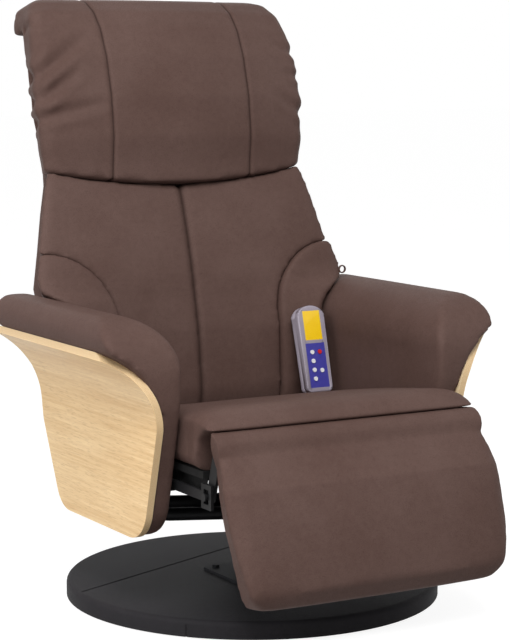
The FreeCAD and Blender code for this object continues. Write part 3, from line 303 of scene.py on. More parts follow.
for point, mark in zip(base_cover.data.vertices, unsewn(base_cover).data):
    near_top = point.co.z > base_high.z - SEAM_DEPTH * 2
    mark.value = 1.0 if near_top and off_base_seam(point.co) < SEAM_HALF / 2 else 0.0
take(base_cover)
bpy.ops.object.shade_smooth_by_angle(angle=SOFT_ANGLE)

# Its third colour is painted shade, mixed into the grooves between the pebbles and along the sewn lines.
base_leather = leather(
    "base_leather", dark=(40, 39, 41), light=(50, 48, 51), recess_shade=(20, 20, 21), roughness=0.6, gloss=0.06
)
stand_for(base_cover, "base_cover", "base", base_leather)

felt = Finish("felt", {"Roughness": 0.95, "Specular IOR Level": 0.1})
fibres = felt.noise(900.0, 4.0)
felt.show(
    Base_Color=felt.tinted(fibres, (24, 24, 25), (48, 48, 50)),
    Normal=felt.bumped(fibres, 0.0006, 0.6),
)
dress(felt, "base_felt")

raw_ply = Finish("raw_ply", {"Roughness": 0.7})
ply_grain = raw_ply.noise(26.0, 4.0, (1.0, 0.06, 1.0))
raw_ply.show(
    Base_Color=raw_ply.tinted(ply_grain.step(0.3, 0.7), (176, 138, 94), (205, 170, 122)),
    Normal=raw_ply.bumped(ply_grain, 0.0003, 0.4),
)
dress(raw_ply, "base_board")

# Swivel.
# A welded plate and post, bolted to the board, with a bearing ring on it.
# The hub of the under-frame lies on the ring, and its spindle turns in the post.

black_steel = Finish("black_powder_coat", {"Specular IOR Level": 0.25})
blotches = black_steel.noise(14.0).step(0.3, 0.7)
black_steel.show(
    Base_Color=black_steel.tinted(blotches, (22, 22, 23), (31, 31, 33)),
    Roughness=0.42 + black_steel.noise(60.0) * 0.14,
    Normal=black_steel.bumped(black_steel.noise(420.0), 0.0002, 0.35),
)
bare_steel = Finish("zinc_plate", {"Metallic": 1.0})
spangle = bare_steel.noise(160.0, 3.0)
bare_steel.show(
    Base_Color=bare_steel.tinted(spangle, (150, 150, 154), (190, 190, 196)),
    Roughness=0.26 + spangle * 0.2,
    Normal=bare_steel.bumped(spangle, 0.00008, 0.4),
)
dull_black = Finish("dull_black", {"Specular IOR Level": 0.15})
dull_black.show(
    Base_Color=dull_black.tinted(dull_black.noise(30.0, 3.0), (36, 36, 38), (42, 42, 45)),
    Roughness=0.7 + dull_black.noise(300.0) * 0.15,
    Normal=dull_black.bumped(dull_black.noise(600.0), 0.0001, 0.4),
)
dress(black_steel, "swivel_hub")
dress(dull_black, "swivel_base_plate", "swivel_bolts")
dress(bare_steel, "swivel_bearing")

# Bowed cross tubes.
# Two steel tubes that lie on the hub and turn up at both ends to the side rails.

dress(black_steel, "cross_tube_front", "cross_tube_rear")

# Seat frame.
# Steel brackets hold the arms to the side rails, with plated screws.
# The motors under the cushion, their control box and the power inlet have plastic cases.

dark_plastic = Finish("dark_plastic", {"Roughness": 0.5})
dark_plastic.show(
    Base_Color=dark_plastic.tinted(dark_plastic.noise(20.0), (26, 26, 27), (36, 36, 38)),
    Normal=dark_plastic.bumped(dark_plastic.noise(700.0), 0.0001, 0.5),
)
dress(dark_plastic, "seat_motors", "control_box", "power_inlet")
dress(black_steel, "arm_brackets")
dress(bare_steel, "arm_screws")

# Dust cloth.
# Black non-woven cloth, stapled round the rails and the platform and across under them.
# Below the platform it hangs loose at both sides, in slack folds.

SKIRT_PLACE = 0.2225
SKIRT_FRONT, SKIRT_REAR = -0.246, -0.104
SKIRT_TOP, SKIRT_DROP, SKIRT_THICK = 0.2678, 0.030, 0.0006
SKIRT_FOLD = 0.0035
# The waves of the folds: how fast each turns along the skirt and down it, its start and its share.
SKIRT_WAVES = ((21.0, 2.4, 0.0, 1.0), (37.0, -4.0, 1.3, 0.6))
HEM_SHARE, HEM_TURN, HEM_START = 0.06, 16.0, 0.7

dust_cloth = Finish("dust_cloth", {"Roughness": 0.85, "Specular IOR Level": 0.2})
dust_cloth.show(
    Base_Color=dust_cloth.tinted(dust_cloth.noise(40.0, 3.0), (18, 18, 18), (36, 35, 35)),
    Normal=dust_cloth.bumped(dust_cloth.noise(1300.0, 3.0), 0.0004, 0.5),
)
dress(dust_cloth, "dust_cover", "seat_platform", "seat_front_rail", "seat_rear_rail")
dress(dust_cloth, "seat_rail_left", "seat_rail_right")
for side, name in ((-1, "left"), (1, "right")):
    bpy.ops.object.select_all(action="DESELECT")
    bpy.ops.mesh.primitive_grid_add(x_subdivisions=40, y_subdivisions=12, size=1.0)
    skirt = bpy.context.object
    skirt.name = f"dust_skirt_{name}"
    for point in skirt.data.vertices:
        along, down = point.co.x + 0.5, 0.5 - point.co.y
        slack = 0.0
        for turn, slant, start, share in SKIRT_WAVES:
            slack += share * math.sin(along * turn + down * slant + start)
        drop = SKIRT_DROP * (1 + HEM_SHARE * math.sin(along * HEM_TURN + HEM_START))
        x = SKIRT_PLACE + SKIRT_FOLD * slack * down
        y = SKIRT_FRONT + (SKIRT_REAR - SKIRT_FRONT) * along
        point.co = (side * x, y, SKIRT_TOP - drop * down)
    take(skirt)
    bpy.ops.object.mode_set(mode="EDIT")
    bpy.ops.mesh.select_all(action="SELECT")
    bpy.ops.mesh.normals_make_consistent(inside=False)
    bpy.ops.object.mode_set(mode="OBJECT")
    finished(skirt, "SOLIDIFY", thickness=SKIRT_THICK, offset=0.0)
    bpy.ops.object.shade_smooth()
    skirt.data.materials.append(dust_cloth.material)
    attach(skirt, "chassis")

# Arm shells.
# Bent plywood, flared outwards at the top, faced with oak veneer whose grain runs front to back.
# The sheets of the plywood show along its edges, and follow the bend.

FLARE_RADIUS, FLARE_HEIGHT = 0.132, 0.335
ARM_OUTER = 0.296
PLY_SHEET = 0.0015
VENEER_THICK, VENEER_BLUR = 0.0004, 0.0003

oak = Finish("oak_veneer", {"Coat Weight": 0.12, "Coat Roughness": 0.3})
long_grain = oak.noise(210.0, 4.0, (1.0, 0.035, 1.0), 0.6)
broad_grain = oak.noise(34.0, 3.0, (1.0, 0.07, 1.0))
oak_pores = oak.noise(900.0, 1.0, (1.0, 0.05, 1.0)).step(0.58, 0.68)
across = oak.add("ShaderNodeSeparateXYZ", values={"Vector": oak.place}, output="X")
height = oak.add("ShaderNodeSeparateXYZ", values={"Vector": oak.place}, output="Z")
beside = across.alone("ABSOLUTE") - (ARM_OUTER + FLARE_RADIUS)
above = (height - FLARE_HEIGHT).held(0.0, 1.0)
from_bend = (beside * beside + above * above).alone("SQRT")
sheets = (from_bend / PLY_SHEET).alone("FRACT").step(0.4, 0.6)
under_veneer = from_bend.step(FLARE_RADIUS + VENEER_THICK, FLARE_RADIUS + VENEER_THICK + VENEER_BLUR)
grain_share = (long_grain * 0.6 + broad_grain * 0.4).step(0.36, 0.64)
veneer = oak.tinted(grain_share, (222, 182, 126), (246, 214, 164))
veneer = oak.mixed(oak_pores * 0.35, veneer, tone(176, 132, 82))
ply_edge = oak.tinted(sheets, (196, 158, 108), (236, 210, 168))
oak.show(
    Base_Color=oak.mixed(under_veneer, veneer, ply_edge),
    Roughness=0.42 + long_grain * 0.16,
    Normal=oak.bumped(long_grain - oak_pores * 0.5, 0.00025, 0.35),
)
dress(oak, "arm_panel_left", "arm_panel_right")

# Arm pads.
# Foam over the inner face of each shell, thick where the arm rests, covered in brown leather.
# The cover is blown up as cloth from inside, into the room that the solid of the pad has.

SWELL_FRAMES = 20
EVEN_ROUNDS = 12
PAD_VOXEL = 0.006
JOIN_REACH = 1e-5


def points_of(piece):
    flat = np.empty(len(piece.data.vertices) * 3)
    piece.data.vertices.foreach_get("co", flat)
    return flat.reshape(-1, 3)


def normals_of(piece):
    flat = np.empty(len(piece.data.vertices) * 3)
    piece.data.vertices.foreach_get("normal", flat)
    return flat.reshape(-1, 3)


def set_points(piece, points):
    piece.data.vertices.foreach_set("co", points.ravel())
    piece.data.update()


def push_out(piece, far):
    """Moves each point of a piece along its normal."""
    set_points(piece, points_of(piece) + normals_of(piece) * far[:, None])


def joined_copy(node, name):
    """A new piece with the outline of a solid of the frame, its faces joined up."""
    mesh = frame["nodes"][node].data.copy()
    mesh.name = name
    mesh.materials.clear()
    piece = bpy.data.objects.new(name, mesh)
    bpy.context.scene.collection.objects.link(piece)
    take(piece)
    bpy.ops.object.mode_set(mode="EDIT")
    bpy.ops.mesh.select_all(action="SELECT")
    bpy.ops.mesh.remove_doubles(threshold=JOIN_REACH)
    bpy.ops.object.mode_set(mode="OBJECT")
    return piece


def evened(piece, values):
    """Values on the points of a piece, each brought near to those of the points beside it."""
    pairs = np.empty(len(piece.data.edges) * 2, np.int64)
    piece.data.edges.foreach_get("vertices", pairs)
    first, second = pairs.reshape(-1, 2).T
    size = len(values)
    count = np.maximum(np.bincount(pairs, minlength=size), 1)
    for _ in range(EVEN_ROUNDS):
        sums = np.bincount(first, values[second], size) + np.bincount(second, values[first], size)
        values = (values + sums / count) / 2
    return values


def swelling(piece, pressure, cap):
    """How far each point of the cover comes out when it is blown up from inside as cloth."""
    start = points_of(piece)
    outward = normals_of(piece)
    scene = bpy.context.scene
    cloth = piece.modifiers.new("cloth", "CLOTH")
    settings = cloth.settings
    settings.quality = 4
    settings.mass = 0.3
    settings.tension_stiffness = 25
    settings.compression_stiffness = 25
    settings.shear_stiffness = 10
    settings.bending_stiffness = 2
    settings.use_pressure = True
    settings.uniform_pressure_force = pressure
    settings.effector_weights.gravity = 0
    cloth.collision_settings.use_collision = False
    cloth.point_cache.frame_start = 1
    cloth.point_cache.frame_end = SWELL_FRAMES
    for number in range(1, SWELL_FRAMES + 1):
        scene.frame_set(number)
    take(piece)
    bpy.ops.object.modifier_apply(modifier=cloth.name)
    scene.frame_set(1)
    out = np.einsum("ij,ij->i", points_of(piece) - start, outward)
    set_points(piece, start)
    return np.clip(out, 0, cap)


def room(piece, node, proud):
    """How far each point can come out before it stands proud of a solid of the frame."""
    mesh = frame["nodes"][node].data
    corners = [point.co for point in mesh.vertices]
    tree = BVHTree.FromPolygons(corners, [list(face.vertices) for face in mesh.polygons])
    free = np.empty(len(piece.data.vertices))
    for index, point in enumerate(piece.data.vertices):
        spot, normal, _, _ = tree.find_nearest(point.co)
        free[index] = proud - (point.co - spot).dot(normal)
    return free


def stuffed(piece, node, ease, pressure, cap, proud, voxel=PAD_VOXEL):
    """Makes a padded piece of an outline: rounded, then swollen into the room that its solid has."""
    finished(piece, "REMESH", mode="VOXEL", voxel_size=voxel)
    finished(piece, "SMOOTH", factor=0.5, iterations=ease)
    out = swelling(piece, pressure, cap)
    push_out(piece, evened(piece, np.minimum(evened(piece, out), room(piece, node, proud))))
    finished(piece, "SUBSURF", levels=1, render_levels=1)
    bpy.ops.object.shade_smooth()
    unsewn(piece)
    return piece


# Its third colour is painted shade, mixed into the grooves between the pebbles and along the sewn lines.
brown_leather = leather(
    "brown_leather", dark=(88, 67, 61), light=(101, 80, 74), recess_shade=(44, 31, 27), roughness=0.56, gloss=0.08
)
for side in ("left", "right"):
    node = f"arm_pad_{side}"
    arm_pad = joined_copy(node, f"arm_leather_{side}")
    stuffed(arm_pad, node, ease=5, pressure=3.0, cap=0.012, proud=0.001)
    stand_for(arm_pad, node, "chassis", brown_leather)

# Seat cushion.
# A wedge of foam with a full front, covered in the same leather, that lies on the platform.
# In front of the arms it spreads a little.

SEAT_SPREAD = 0.026
SPREAD_RUN = (-0.222, -0.252)


def ramp(values, start, end):
    """0 before start, 1 after end and even between them."""
    return np.clip((values - start) / (end - start), 0, 1)


seat = joined_copy("seat_cushion", "seat_leather")
stuffed(seat, "seat_cushion", ease=6, pressure=4.0, cap=0.024, proud=0.0015)
seat_points = points_of(seat)
seat_points[:, 0] *= 1 + SEAT_SPREAD * ramp(seat_points[:, 1], *SPREAD_RUN)
set_points(seat, seat_points)
stand_for(seat, "seat_cushion", "chassis", brown_leather)

# Footrest.
# A padded paddle with a board behind it, on a rod that two fixed arms carry.
# A bar at each side pushes it up by a crank. Its leather hides the slots that the arms and cranks need.

FOOTREST_TILT = math.radians(21.0)
KNUCKLE, KNUCKLE_FULL = 0.0295, 0.0362
KNUCKLE_SIDES = 48
# The slots in the knuckle: place and width.
SLOT_FILLS = {-0.236: 0.024, -0.120: 0.016, 0.120: 0.016, 0.236: 0.024}
# The face is made fuller, the sides taper behind it, and its ends come forward a little.
# Each run goes from none to all, across, in depth or in height from the hinge line.
FACE_FULL, FACE_REAR, FACE_HEIGHTS = 1.3, 0.02, (-0.012, -0.072)
FACE_SPREAD = 0.026
TAPER_HEIGHTS, TAPER_SHARES = (-0.26, -0.16, -0.02, 0.03), (0.04, 0.10, 0.10, 0.0)
TAPER_DEPTHS = (-0.035, 0.025)
ENDS_RISE, ENDS_PLACES, ENDS_DEPTHS = 0.004, (0.17, 0.25), (0.012, -0.018)
KNUCKLE_HEIGHTS, KNUCKLE_REACHES = (-0.012, 0.008), (0.02, 0.026)
BACKING_SHARE, BACKING_EDGE = 0.925, 0.004


def pivot(name):
    """A point on the axis of a joint of the frame."""
    return np.array(next(joint["pos_m"] for joint in frame["joints"] if joint["name"] == name))


def unleaned(points, axis, lean):
    """Points as seen from the axis of a leaning piece, with its lean taken out."""
    y, z = (points - axis)[:, 1], (points - axis)[:, 2]
    sine, cosine = math.sin(lean), math.cos(lean)
    return np.stack([points[:, 0], y * cosine - z * sine, y * sine + z * cosine], axis=1)


KNEE = pivot("footrest_lift")

dress(black_steel, "footrest_hinge_arms", "footrest_cranks", "crank_pins")
dress(black_steel, "link_bar_left", "link_bar_right")
dress(bare_steel, "footrest_rod", "lever_pins")
footrest = joined_copy("footrest_cushion", "footrest_leather")
for x, width in SLOT_FILLS.items():
    bpy.ops.object.select_all(action="DESELECT")
    bpy.ops.mesh.primitive_cylinder_add(
        vertices=KNUCKLE_SIDES,
        radius=KNUCKLE,
        depth=width,
        location=(x, KNEE[1], KNEE[2]),
        rotation=(0, math.pi / 2, 0),
    )
    plug = bpy.context.object
    bpy.ops.object.transform_apply()
    bpy.ops.object.mode_set(mode="EDIT")
    bpy.ops.mesh.select_all(action="SELECT")
    bpy.ops.mesh.bisect(plane_co=KNEE, plane_no=(0, 1, 0), use_fill=True, clear_outer=True)
    bpy.ops.object.mode_set(mode="OBJECT")
    take(footrest)
    plug.select_set(True)
    bpy.ops.object.join()
stuffed(footrest, "footrest_cushion", ease=6, pressure=4.0, cap=0.024, proud=0.004)
hung = unleaned(points_of(footrest), KNEE, FOOTREST_TILT)
in_front = np.minimum(hung[:, 1] - FACE_REAR, 0)
hung[:, 1] += in_front * (FACE_FULL - 1) * ramp(hung[:, 2], *FACE_HEIGHTS)
taper = np.interp(hung[:, 2], TAPER_HEIGHTS, TAPER_SHARES) * ramp(hung[:, 1], *TAPER_DEPTHS)
hung[:, 0] *= 1 + FACE_SPREAD - taper
ends = ramp(np.abs(hung[:, 0]), *ENDS_PLACES) ** 2
hung[:, 1] -= ENDS_RISE * ends * ramp(hung[:, 1], *ENDS_DEPTHS)
reach = np.hypot(hung[:, 1], hung[:, 2])
on_knuckle = ramp(hung[:, 2], *KNUCKLE_HEIGHTS) * ramp(reach, *KNUCKLE_REACHES)
grown = np.maximum(KNUCKLE_FULL / np.maximum(reach, MICRON), 1) - 1
hung[:, 1:] *= (1 + grown * on_knuckle)[:, None]
sine, cosine = math.sin(FOOTREST_TILT), math.cos(FOOTREST_TILT)
y, z = hung[:, 1] * cosine + hung[:, 2] * sine, hung[:, 2] * cosine - hung[:, 1] * sine
set_points(footrest, np.stack([hung[:, 0], y + KNEE[1], z + KNEE[2]], axis=1))
stand_for(footrest, "footrest_cushion", "footrest", brown_leather)
backing = joined_copy("footrest_board", "footrest_backing")
set_points(backing, points_of(backing) * (BACKING_SHARE, 1, 1))
finished(backing, "BEVEL", width=BACKING_EDGE, segments=3)
bpy.ops.object.shade_smooth_by_angle(angle=SOFT_ANGLE)
stand_for(backing, "footrest_board", "footrest", dust_cloth)

# Back frame.
# Steel uprights on the hinge tube, with webbing across them and the levers that push the links.
# The motors of the back lie flat against the webbing, behind the padding.

webbing = Finish("webbing", {"Roughness": 0.8, "Specular IOR Level": 0.2})
ribs = webbing.noise(500.0, 2.0, (1.0, 1.0, 0.1))
webbing.show(
    Base_Color=webbing.tinted(ribs, (22, 22, 22), (46, 46, 46)),
    Normal=webbing.bumped(ribs, 0.0006, 0.6),
)
dress(webbing, "back_straps")
dress(black_steel, "back_hinge_bracket_left", "back_hinge_bracket_right", "back_hinge_tube")
dress(black_steel, "back_upright_left", "back_upright_right", "back_top_tube", "recline_levers")
dress(dark_plastic, "lumbar_motors", "head_motors")

# Back cushion.
# One soft panel with a sewn line down its middle, so that it swells in two lobes.
# A firmer bolster is sewn in at each lower corner, along a curved line.

BACK_TILT = math.radians(12.8)
HINGE = pivot("recline")
FRONT_DEPTH = -0.02
TUCK_HEIGHTS = (-0.055, -0.095)
BACK_TUCK, BOLSTER_TUCK = 0.014, 0.022


def upright(piece):
    """The points of a piece as seen from the hinge line, with the back stood upright."""
    return unleaned(points_of(piece), HINGE, BACK_TILT)


def front_line(piece, x):
    """Distance from an upright sewn line at one place across the front, far away behind."""
    stood = upright(piece)
    return np.abs(stood[:, 0] - x) + np.maximum(0, stood[:, 1] - FRONT_DEPTH)


def sew(piece, far, depth, width):
    """Draws a padded face in along a line, given each point's distance from it, and marks the line."""
    push_out(piece, np.exp(-((far / width) ** 2)) * -depth)
    mark = piece.data.attributes["seam"]
    before = np.empty(len(far), np.float32)
    mark.data.foreach_get("value", before)
    line = np.exp(-((far / (width * 0.5)) ** 2))
    mark.data.foreach_set("value", np.maximum(before, line).astype(np.float32))


def tuck(piece, depth):
    """Draws the lower end of a piece of the back further down, behind the seat."""
    down = np.array([0.0, -math.sin(BACK_TILT), -math.cos(BACK_TILT)])
    far = ramp(upright(piece)[:, 2], *TUCK_HEIGHTS) * depth
    set_points(piece, points_of(piece) + far[:, None] * down)


back = joined_copy("back_cushion", "back_leather")
stuffed(back, "back_cushion", ease=7, pressure=4.0, cap=0.024, proud=0.002)
tuck(back, BACK_TUCK)
sew(back, front_line(back, 0.0), depth=0.005, width=0.007)
stand_for(back, "back_cushion", "back", brown_leather)
for side in ("left", "right"):
    node = f"back_bolster_{side}"
    bolster = joined_copy(node, f"bolster_leather_{side}")
    stuffed(bolster, node, ease=5, pressure=3.0, cap=0.016, proud=0.002, voxel=0.005)
    tuck(bolster, BOLSTER_TUCK)
    stand_for(bolster, node, "back", brown_leather)

# Rear flap.
# A strip of leather that closes the gap behind the seat, stapled to the rear edge of the seat platform.
# Its other edge is sewn to the lower end of the back.

FLAP_HALF, FLAP_CUT, FLAP_THICK = 0.232, 0.102, 0.0012
FLAP_SEAT_END, FLAP_BACK_END = np.array([0.1665, 0.284]), np.array([0.252, 0.305])
FLAP_SAG = 0.022
RIPPLE, RIPPLE_TURN, RIPPLE_SLANT = 0.0012, 34.0, 2.0

bpy.ops.object.select_all(action="DESELECT")
bpy.ops.mesh.primitive_grid_add(x_subdivisions=60, y_subdivisions=24, size=1.0)
flap = bpy.context.object
flap.name = "rear_flap"
for point in flap.data.vertices:
    along = point.co.y + 0.5
    y, z = FLAP_SEAT_END + (FLAP_BACK_END - FLAP_SEAT_END) * along
    wave = math.sin(point.co.x * RIPPLE_TURN + along * RIPPLE_SLANT) * math.sin(math.pi * along)
    sag = FLAP_SAG * 4 * along * (1 - along)
    point.co = (point.co.x * 2 * FLAP_HALF, y, z - sag + RIPPLE * wave)
finished(flap, "SOLIDIFY", thickness=FLAP_THICK, offset=0.0)
bpy.ops.object.shade_smooth()
unsewn(flap)
flap.data.materials.append(brown_leather.material)
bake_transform(flap)

# Head cushion.
# A soft pillow hung over the top of the back, in three panels with two sewn lines down its face.
# Its cover is a little too large, so that it folds and gathers at the sides.

HEAD_SEAM = 0.141
# The folds: where each starts at the edge, where it runs out, depth and width.
HEAD_FOLDS = [
    ((-0.262, 0.508), (-0.165, 0.578), 0.0075, 0.011),
    ((-0.262, 0.462), (-0.190, 0.512), 0.0060, 0.010),
    ((-0.262, 0.428), (-0.140, 0.452), 0.0050, 0.010),
    ((-0.255, 0.600), (-0.200, 0.622), 0.0035, 0.008),
    ((0.268, 0.432), (0.196, 0.470), 0.0050, 0.010),
    ((0.268, 0.545), (0.210, 0.566), 0.0040, 0.008),
    ((0.268, 0.500), (0.225, 0.508), 0.0035, 0.007),
]
FOLD_FADE, FOLD_LEAD, FOLD_DEPTH = 0.7, 1 / 6, -0.03
RIDGE_SHARE, RIDGE_PLACE, RIDGE_SPREAD = 0.45, 1.9, 0.9
GATHER_STEP, GATHER_DEPTH = 0.061, 0.00078
GATHER_PLACES = (0.235, 0.265)
CROSS_SHARE, CROSS_TURN, CROSS_START = 0.6, 5.1, 1.1


def fold(piece, start, end, depth, width):
    """A fold in the front of the back: a trough with a soft ridge at each side, running out inwards."""
    stood = upright(piece)
    start, end = np.array(start), np.array(end)
    length = np.linalg.norm(end - start)
    way = (end - start) / length
    from_start = stood[:, (0, 2)] - start
    along = from_start @ way / length
    beside = from_start @ np.array([-way[1], way[0]]) / width
    fade = ramp(along, 1, 0) ** FOLD_FADE * ramp(along, -FOLD_LEAD, 0) * (stood[:, 1] < FOLD_DEPTH)
    trough = np.exp(-(beside**2))
    ridge = np.exp(-((np.abs(beside) - RIDGE_PLACE) ** 2) / RIDGE_SPREAD)
    push_out(piece, (ridge * RIDGE_SHARE - trough) * fade * depth)


head = joined_copy("head_cushion", "head_leather")
stuffed(head, "head_cushion", ease=7, pressure=4.0, cap=0.026, proud=0.0)
for x in (-HEAD_SEAM, HEAD_SEAM):
    sew(head, front_line(head, x), depth=0.003, width=0.004)
for place in HEAD_FOLDS:
    fold(head, *place)
stood = upright(head)
at_side = ramp(np.abs(stood[:, 0]), *GATHER_PLACES) * (stood[:, 1] < 0.0)
gathers = np.sin(stood[:, 2] * (2 * math.pi / GATHER_STEP))
gathers += CROSS_SHARE * np.sin(stood[:, 2] * (CROSS_TURN / GATHER_STEP) + CROSS_START)
push_out(head, gathers * at_side * GATHER_DEPTH)
stand_for(head, "head_cushion", "back", brown_leather)

# Rear shell.
# A stiff tray behind the frame, upholstered in the same leather.

REAR_EDGE, REAR_SHARP = 0.006, math.radians(40)

rear = joined_copy("back_shell", "rear_leather")
finished(rear, "BEVEL", width=REAR_EDGE, segments=3, limit_method="ANGLE", angle_limit=REAR_SHARP)
unsewn(rear)
bpy.ops.object.shade_smooth_by_angle(angle=SOFT_ANGLE)
stand_for(rear, "back_shell", "back", brown_leather)

# Sewn tab.
# A small strip of leather, folded to a loop and caught in the side seam of the bolster.

LOOP_RADIUS, LOOP_STRAP = 0.0066, 0.0013
LOOP_IN_SEAM = 0.0082
LOOP_WIDTH_SHARE = 2.4

tab_low, tab_high = (Vector(corner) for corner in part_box("sewn_tab"))
bpy.ops.object.select_all(action="DESELECT")
bpy.ops.mesh.primitive_torus_add(
    major_radius=LOOP_RADIUS,
    minor_radius=LOOP_STRAP,
    major_segments=40,
    minor_segments=14,
    rotation=(math.pi / 2, 0, 0),
)
tab = bpy.context.object
tab.name = "tab_leather"
bpy.ops.object.transform_apply()
tab.location = (tab_high.x - LOOP_IN_SEAM, (tab_low.y + tab_high.y) / 2, (tab_low.z + tab_high.z) / 2)
tab.scale = (1, LOOP_WIDTH_SHARE, 1)
bpy.ops.object.transform_apply()
bpy.ops.object.shade_smooth()
unsewn(tab)
stand_for(tab, "sewn_tab", "back", brown_leather)

# Handset.
# Two moulded shells with a yellow screen and a blue membrane let into the front, and keys through it.
# It stands loose on the seat and leans back.

HAND_FOOT_X, HAND_FOOT_Y = 0.200, 0.106
HAND_TILT = math.radians(15.0)
HAND_HALF, HAND_DEPTH, HAND_LENGTH = 0.027, 0.0125, 0.160
HAND_ROUND, HAND_EDGE, HAND_FLARE = 0.009, 0.0025, 0.08
ARCH_START = 0.137
ARCH_RISE = HAND_LENGTH - ARCH_START
# Cuts across the shells, up and then sideways, that give the arch enough points.
ARCH_CUTS = {
    (0, 0, 1): (0.137, 0.142, 0.147, 0.151),
    (1, 0, 0): (-0.018, -0.012, -0.006, 0.0, 0.006, 0.012, 0.018),
}
WINDOW_HALF, WINDOW_LOW, WINDOW_HIGH = 0.0205, 0.0075, 0.1505
OUTLINE_REACH, FACE_REACH = 3e-4, 1e-4
FLAT_TURN, SHARP_TURN = math.radians(1), 1.0

grey_plastic = Finish("handset_grey", {"Specular IOR Level": 0.5})
spark = grey_plastic.noise(900.0)
grey_plastic.show(
    Base_Color=grey_plastic.tinted(grey_plastic.noise(60.0), (146, 138, 150), (162, 154, 166)),
    Roughness=0.34 + spark * 0.12,
    Normal=grey_plastic.bumped(spark, 0.00006, 0.4),
)


def coloured(name, settings, dark, light, clouds, roughness, specks, rougher):
    """Smooth coloured plastic: faint clouds of colour, and a gloss that varies in specks."""
    finish = Finish(name, settings)
    return finish.show(
        Base_Color=finish.tinted(finish.noise(clouds), dark, light),
        Roughness=roughness + finish.noise(specks) * rougher,
    )


yellow = coloured(
    "screen_yellow", {"Coat Weight": 0.6, "Coat Roughness": 0.08}, (248, 198, 2), (255, 212, 16),
    clouds=80.0, roughness=0.3, specks=200.0, rougher=0.1,
)
blue = coloured(
    "keypad_blue", {"Specular IOR Level": 0.45}, (58, 56, 146), (72, 70, 164),
    clouds=120.0, roughness=0.36, specks=600.0, rougher=0.12,
)
white_key = coloured(
    "key_white", {}, (226, 226, 228), (240, 240, 242),
    clouds=200.0, roughness=0.34, specks=900.0, rougher=0.1,
)
red_key = coloured(
    "key_red", {}, (196, 26, 30), (214, 42, 44),
    clouds=200.0, roughness=0.34, specks=900.0, rougher=0.1,
)

hand_foot_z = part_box("handset_rear")[0][2] + HAND_DEPTH * math.sin(HAND_TILT)
hand_foot = np.array([HAND_FOOT_X, HAND_FOOT_Y, hand_foot_z])
hand_turn = np.array([
    [1, 0, 0],
    [0, math.cos(HAND_TILT), -math.sin(HAND_TILT)],
    [0, math.sin(HAND_TILT), math.cos(HAND_TILT)],
])


def arched(place):
    """Where a point of the handset's outline goes: it widens upwards to one round arch."""
    x, z = abs(place.x), place.z
    corner = HAND_LENGTH - HAND_ROUND
    if z > corner and x > HAND_HALF - HAND_ROUND:
        off = math.hypot(x - HAND_HALF + HAND_ROUND, z - corner) - HAND_ROUND
    elif z > corner:
        off = z - HAND_LENGTH
    else:
        off = x - HAND_HALF
    if abs(off) > OUTLINE_REACH:
        return place
    if z > ARCH_START:
        turn = math.atan2((z - ARCH_START) / ARCH_RISE, x / HAND_HALF)
        x, z = HAND_HALF * math.cos(turn), ARCH_START + ARCH_RISE * math.sin(turn)
    x *= 1 + HAND_FLARE * z / HAND_LENGTH
    return Vector((math.copysign(x, place.x), place.y, z))


def on_rim(place, face):
    """True on the outer face of a shell of the handset, outside the windows for the screen and the keys."""
    window = abs(place.x) < WINDOW_HALF and WINDOW_LOW < place.z < WINDOW_HIGH
    return abs(place.y - face) < FACE_REACH and not window


for node, face in (("handset_front", -HAND_DEPTH), ("handset_rear", HAND_DEPTH)):
    shell = joined_copy(node, f"{node}_shell")
    set_points(shell, (points_of(shell) - hand_foot) @ hand_turn.T)
    bpy.ops.object.mode_set(mode="EDIT")
    choose("FACE", lambda place: abs(place.y - face) < FACE_REACH)
    bpy.ops.mesh.dissolve_limited(angle_limit=FLAT_TURN)
    for way, cuts in ARCH_CUTS.items():
        for cut in cuts:
            bpy.ops.mesh.select_all(action="SELECT")
            bpy.ops.mesh.bisect(plane_co=Vector(way) * cut, plane_no=way)
    shape = bmesh.from_edit_mesh(shell.data)
    for point in shape.verts:
        point.co = arched(point.co)
    bmesh.update_edit_mesh(shell.data)
    bpy.ops.mesh.select_all(action="DESELECT")
    bpy.ops.mesh.select_mode(type="EDGE")
    shape = bmesh.from_edit_mesh(shell.data)
    for line in shape.edges:
        sharp = len(line.link_faces) == 2 and line.calc_face_angle() > SHARP_TURN
        line.select_set(sharp and all(on_rim(point.co, face) for point in line.verts))
    bmesh.update_edit_mesh(shell.data)
    bpy.ops.mesh.bevel(offset=HAND_EDGE, segments=4)
    bpy.ops.object.mode_set(mode="OBJECT")
    bpy.ops.object.shade_smooth_by_angle(angle=SOFT_ANGLE)
    set_points(shell, points_of(shell) @ hand_turn + hand_foot)
    stand_for(shell, node, "handset", grey_plastic)
dress(yellow, "handset_screen")
dress(blue, "handset_keypad")
dress(white_key, "key_mode", "key_head", "key_back", "key_seat", "key_heat")
dress(red_key, "key_power")

# Studio.
# A pale floor that glows for the camera, a white world and four soft lamps.
# The camera stands where the photograph was taken from.

FLOOR_HALF = 30.0
FLOOR_GLOW = 0.88
FLOOR_GREY = (0.32, 0.32, 0.32, 1.0)
WHITE = (1.0, 1.0, 1.0, 1.0)
SKY_LIGHT, SKY_SEEN = 0.36, 1.0
SEEN_BY = ("Is Camera Ray", "Is Glossy Ray", "Is Transmission Ray")
MIDDLE = Vector((0.0, 0.0, 0.5))
CAMERA_PLACE = Vector((-1.7561, -3.0424, 0.9214))
CAMERA_WAY = Vector((0.4972, 0.8586, -0.1250))
PHOTO_LENS, SENSOR_WIDTH = 115.1, 36.0

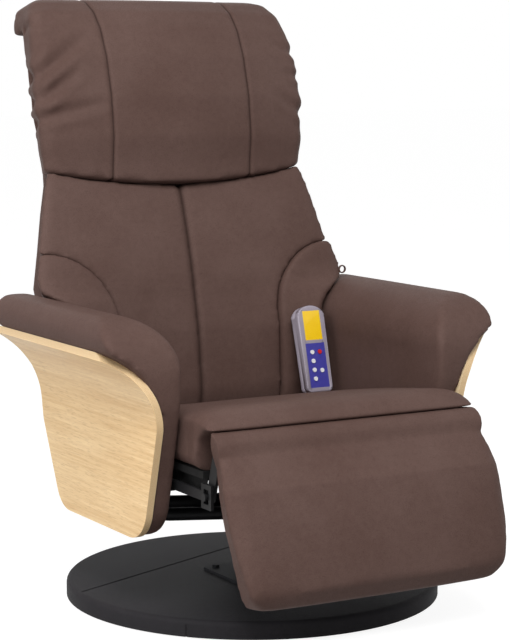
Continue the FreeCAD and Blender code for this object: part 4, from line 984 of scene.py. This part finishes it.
bpy.ops.object.select_all(action="DESELECT")
bpy.ops.mesh.primitive_plane_add(size=FLOOR_HALF * 2, location=(0, 0, 0))
floor = bpy.context.object
floor.name = "floor"
pale = Finish("pale_floor", {"Base Color": FLOOR_GREY, "Roughness": 1.0, "Specular IOR Level": 0.0})
seen = sum(pale.add("ShaderNodeLightPath", output=kind) for kind in SEEN_BY).held(0.0, 1.0)
glow = pale.add("ShaderNodeEmission", values={"Color": WHITE, "Strength": seen * FLOOR_GLOW})
both = pale.add("ShaderNodeAddShader", values={0: Wire(pale, pale.shader.outputs[0]), 1: glow})
pale.links.new(both.socket, pale.nodes["Material Output"].inputs["Surface"])
floor.data.materials.append(pale.material)

scene = bpy.context.scene
scene.view_settings.view_transform = "Standard"
world = bpy.data.worlds.new("studio")
world.use_nodes = True
scene.world = world
sky = world.node_tree.nodes
sky_links = world.node_tree.links
light_path = sky.new("ShaderNodeLightPath")
shown = light_path.outputs[SEEN_BY[0]]
for kind in SEEN_BY[1:]:
    either = sky.new("ShaderNodeMath")
    either.operation = "MAXIMUM"
    sky_links.new(shown, either.inputs[0])
    sky_links.new(light_path.outputs[kind], either.inputs[1])
    shown = either.outputs[0]
strength = sky.new("ShaderNodeMapRange")
strength.inputs["To Min"].default_value = SKY_LIGHT
strength.inputs["To Max"].default_value = SKY_SEEN
sky_links.new(shown, strength.inputs["Value"])
sky_links.new(strength.outputs["Result"], sky["Background"].inputs["Strength"])
sky["Background"].inputs["Color"].default_value = WHITE


def soft_lamp(name, place, size, power):
    data = bpy.data.lights.new(name, "AREA")
    data.size = size
    data.energy = power
    lamp = bpy.data.objects.new(name, data)
    lamp.location = place
    lamp.rotation_euler = (MIDDLE - Vector(place)).to_track_quat("-Z", "Y").to_euler()
    scene.collection.objects.link(lamp)


soft_lamp("key_lamp", (-1.0, -2.0, 2.7), size=1.6, power=84.0)
soft_lamp("side_lamp", (-2.8, -0.5, 1.1), size=2.0, power=39.0)
soft_lamp("fill_lamp", (2.4, -1.4, 1.8), size=2.2, power=8.0)
soft_lamp("back_lamp", (0.6, 2.6, 2.0), size=2.0, power=6.0)

camera_data = bpy.data.cameras.new("camera")
camera_data.lens = PHOTO_LENS
camera_data.sensor_width = SENSOR_WIDTH
camera = bpy.data.objects.new("camera", camera_data)
camera.location = CAMERA_PLACE
camera.rotation_euler = CAMERA_WAY.to_track_quat("-Z", "Y").to_euler()
scene.collection.objects.link(camera)
scene.camera = camera
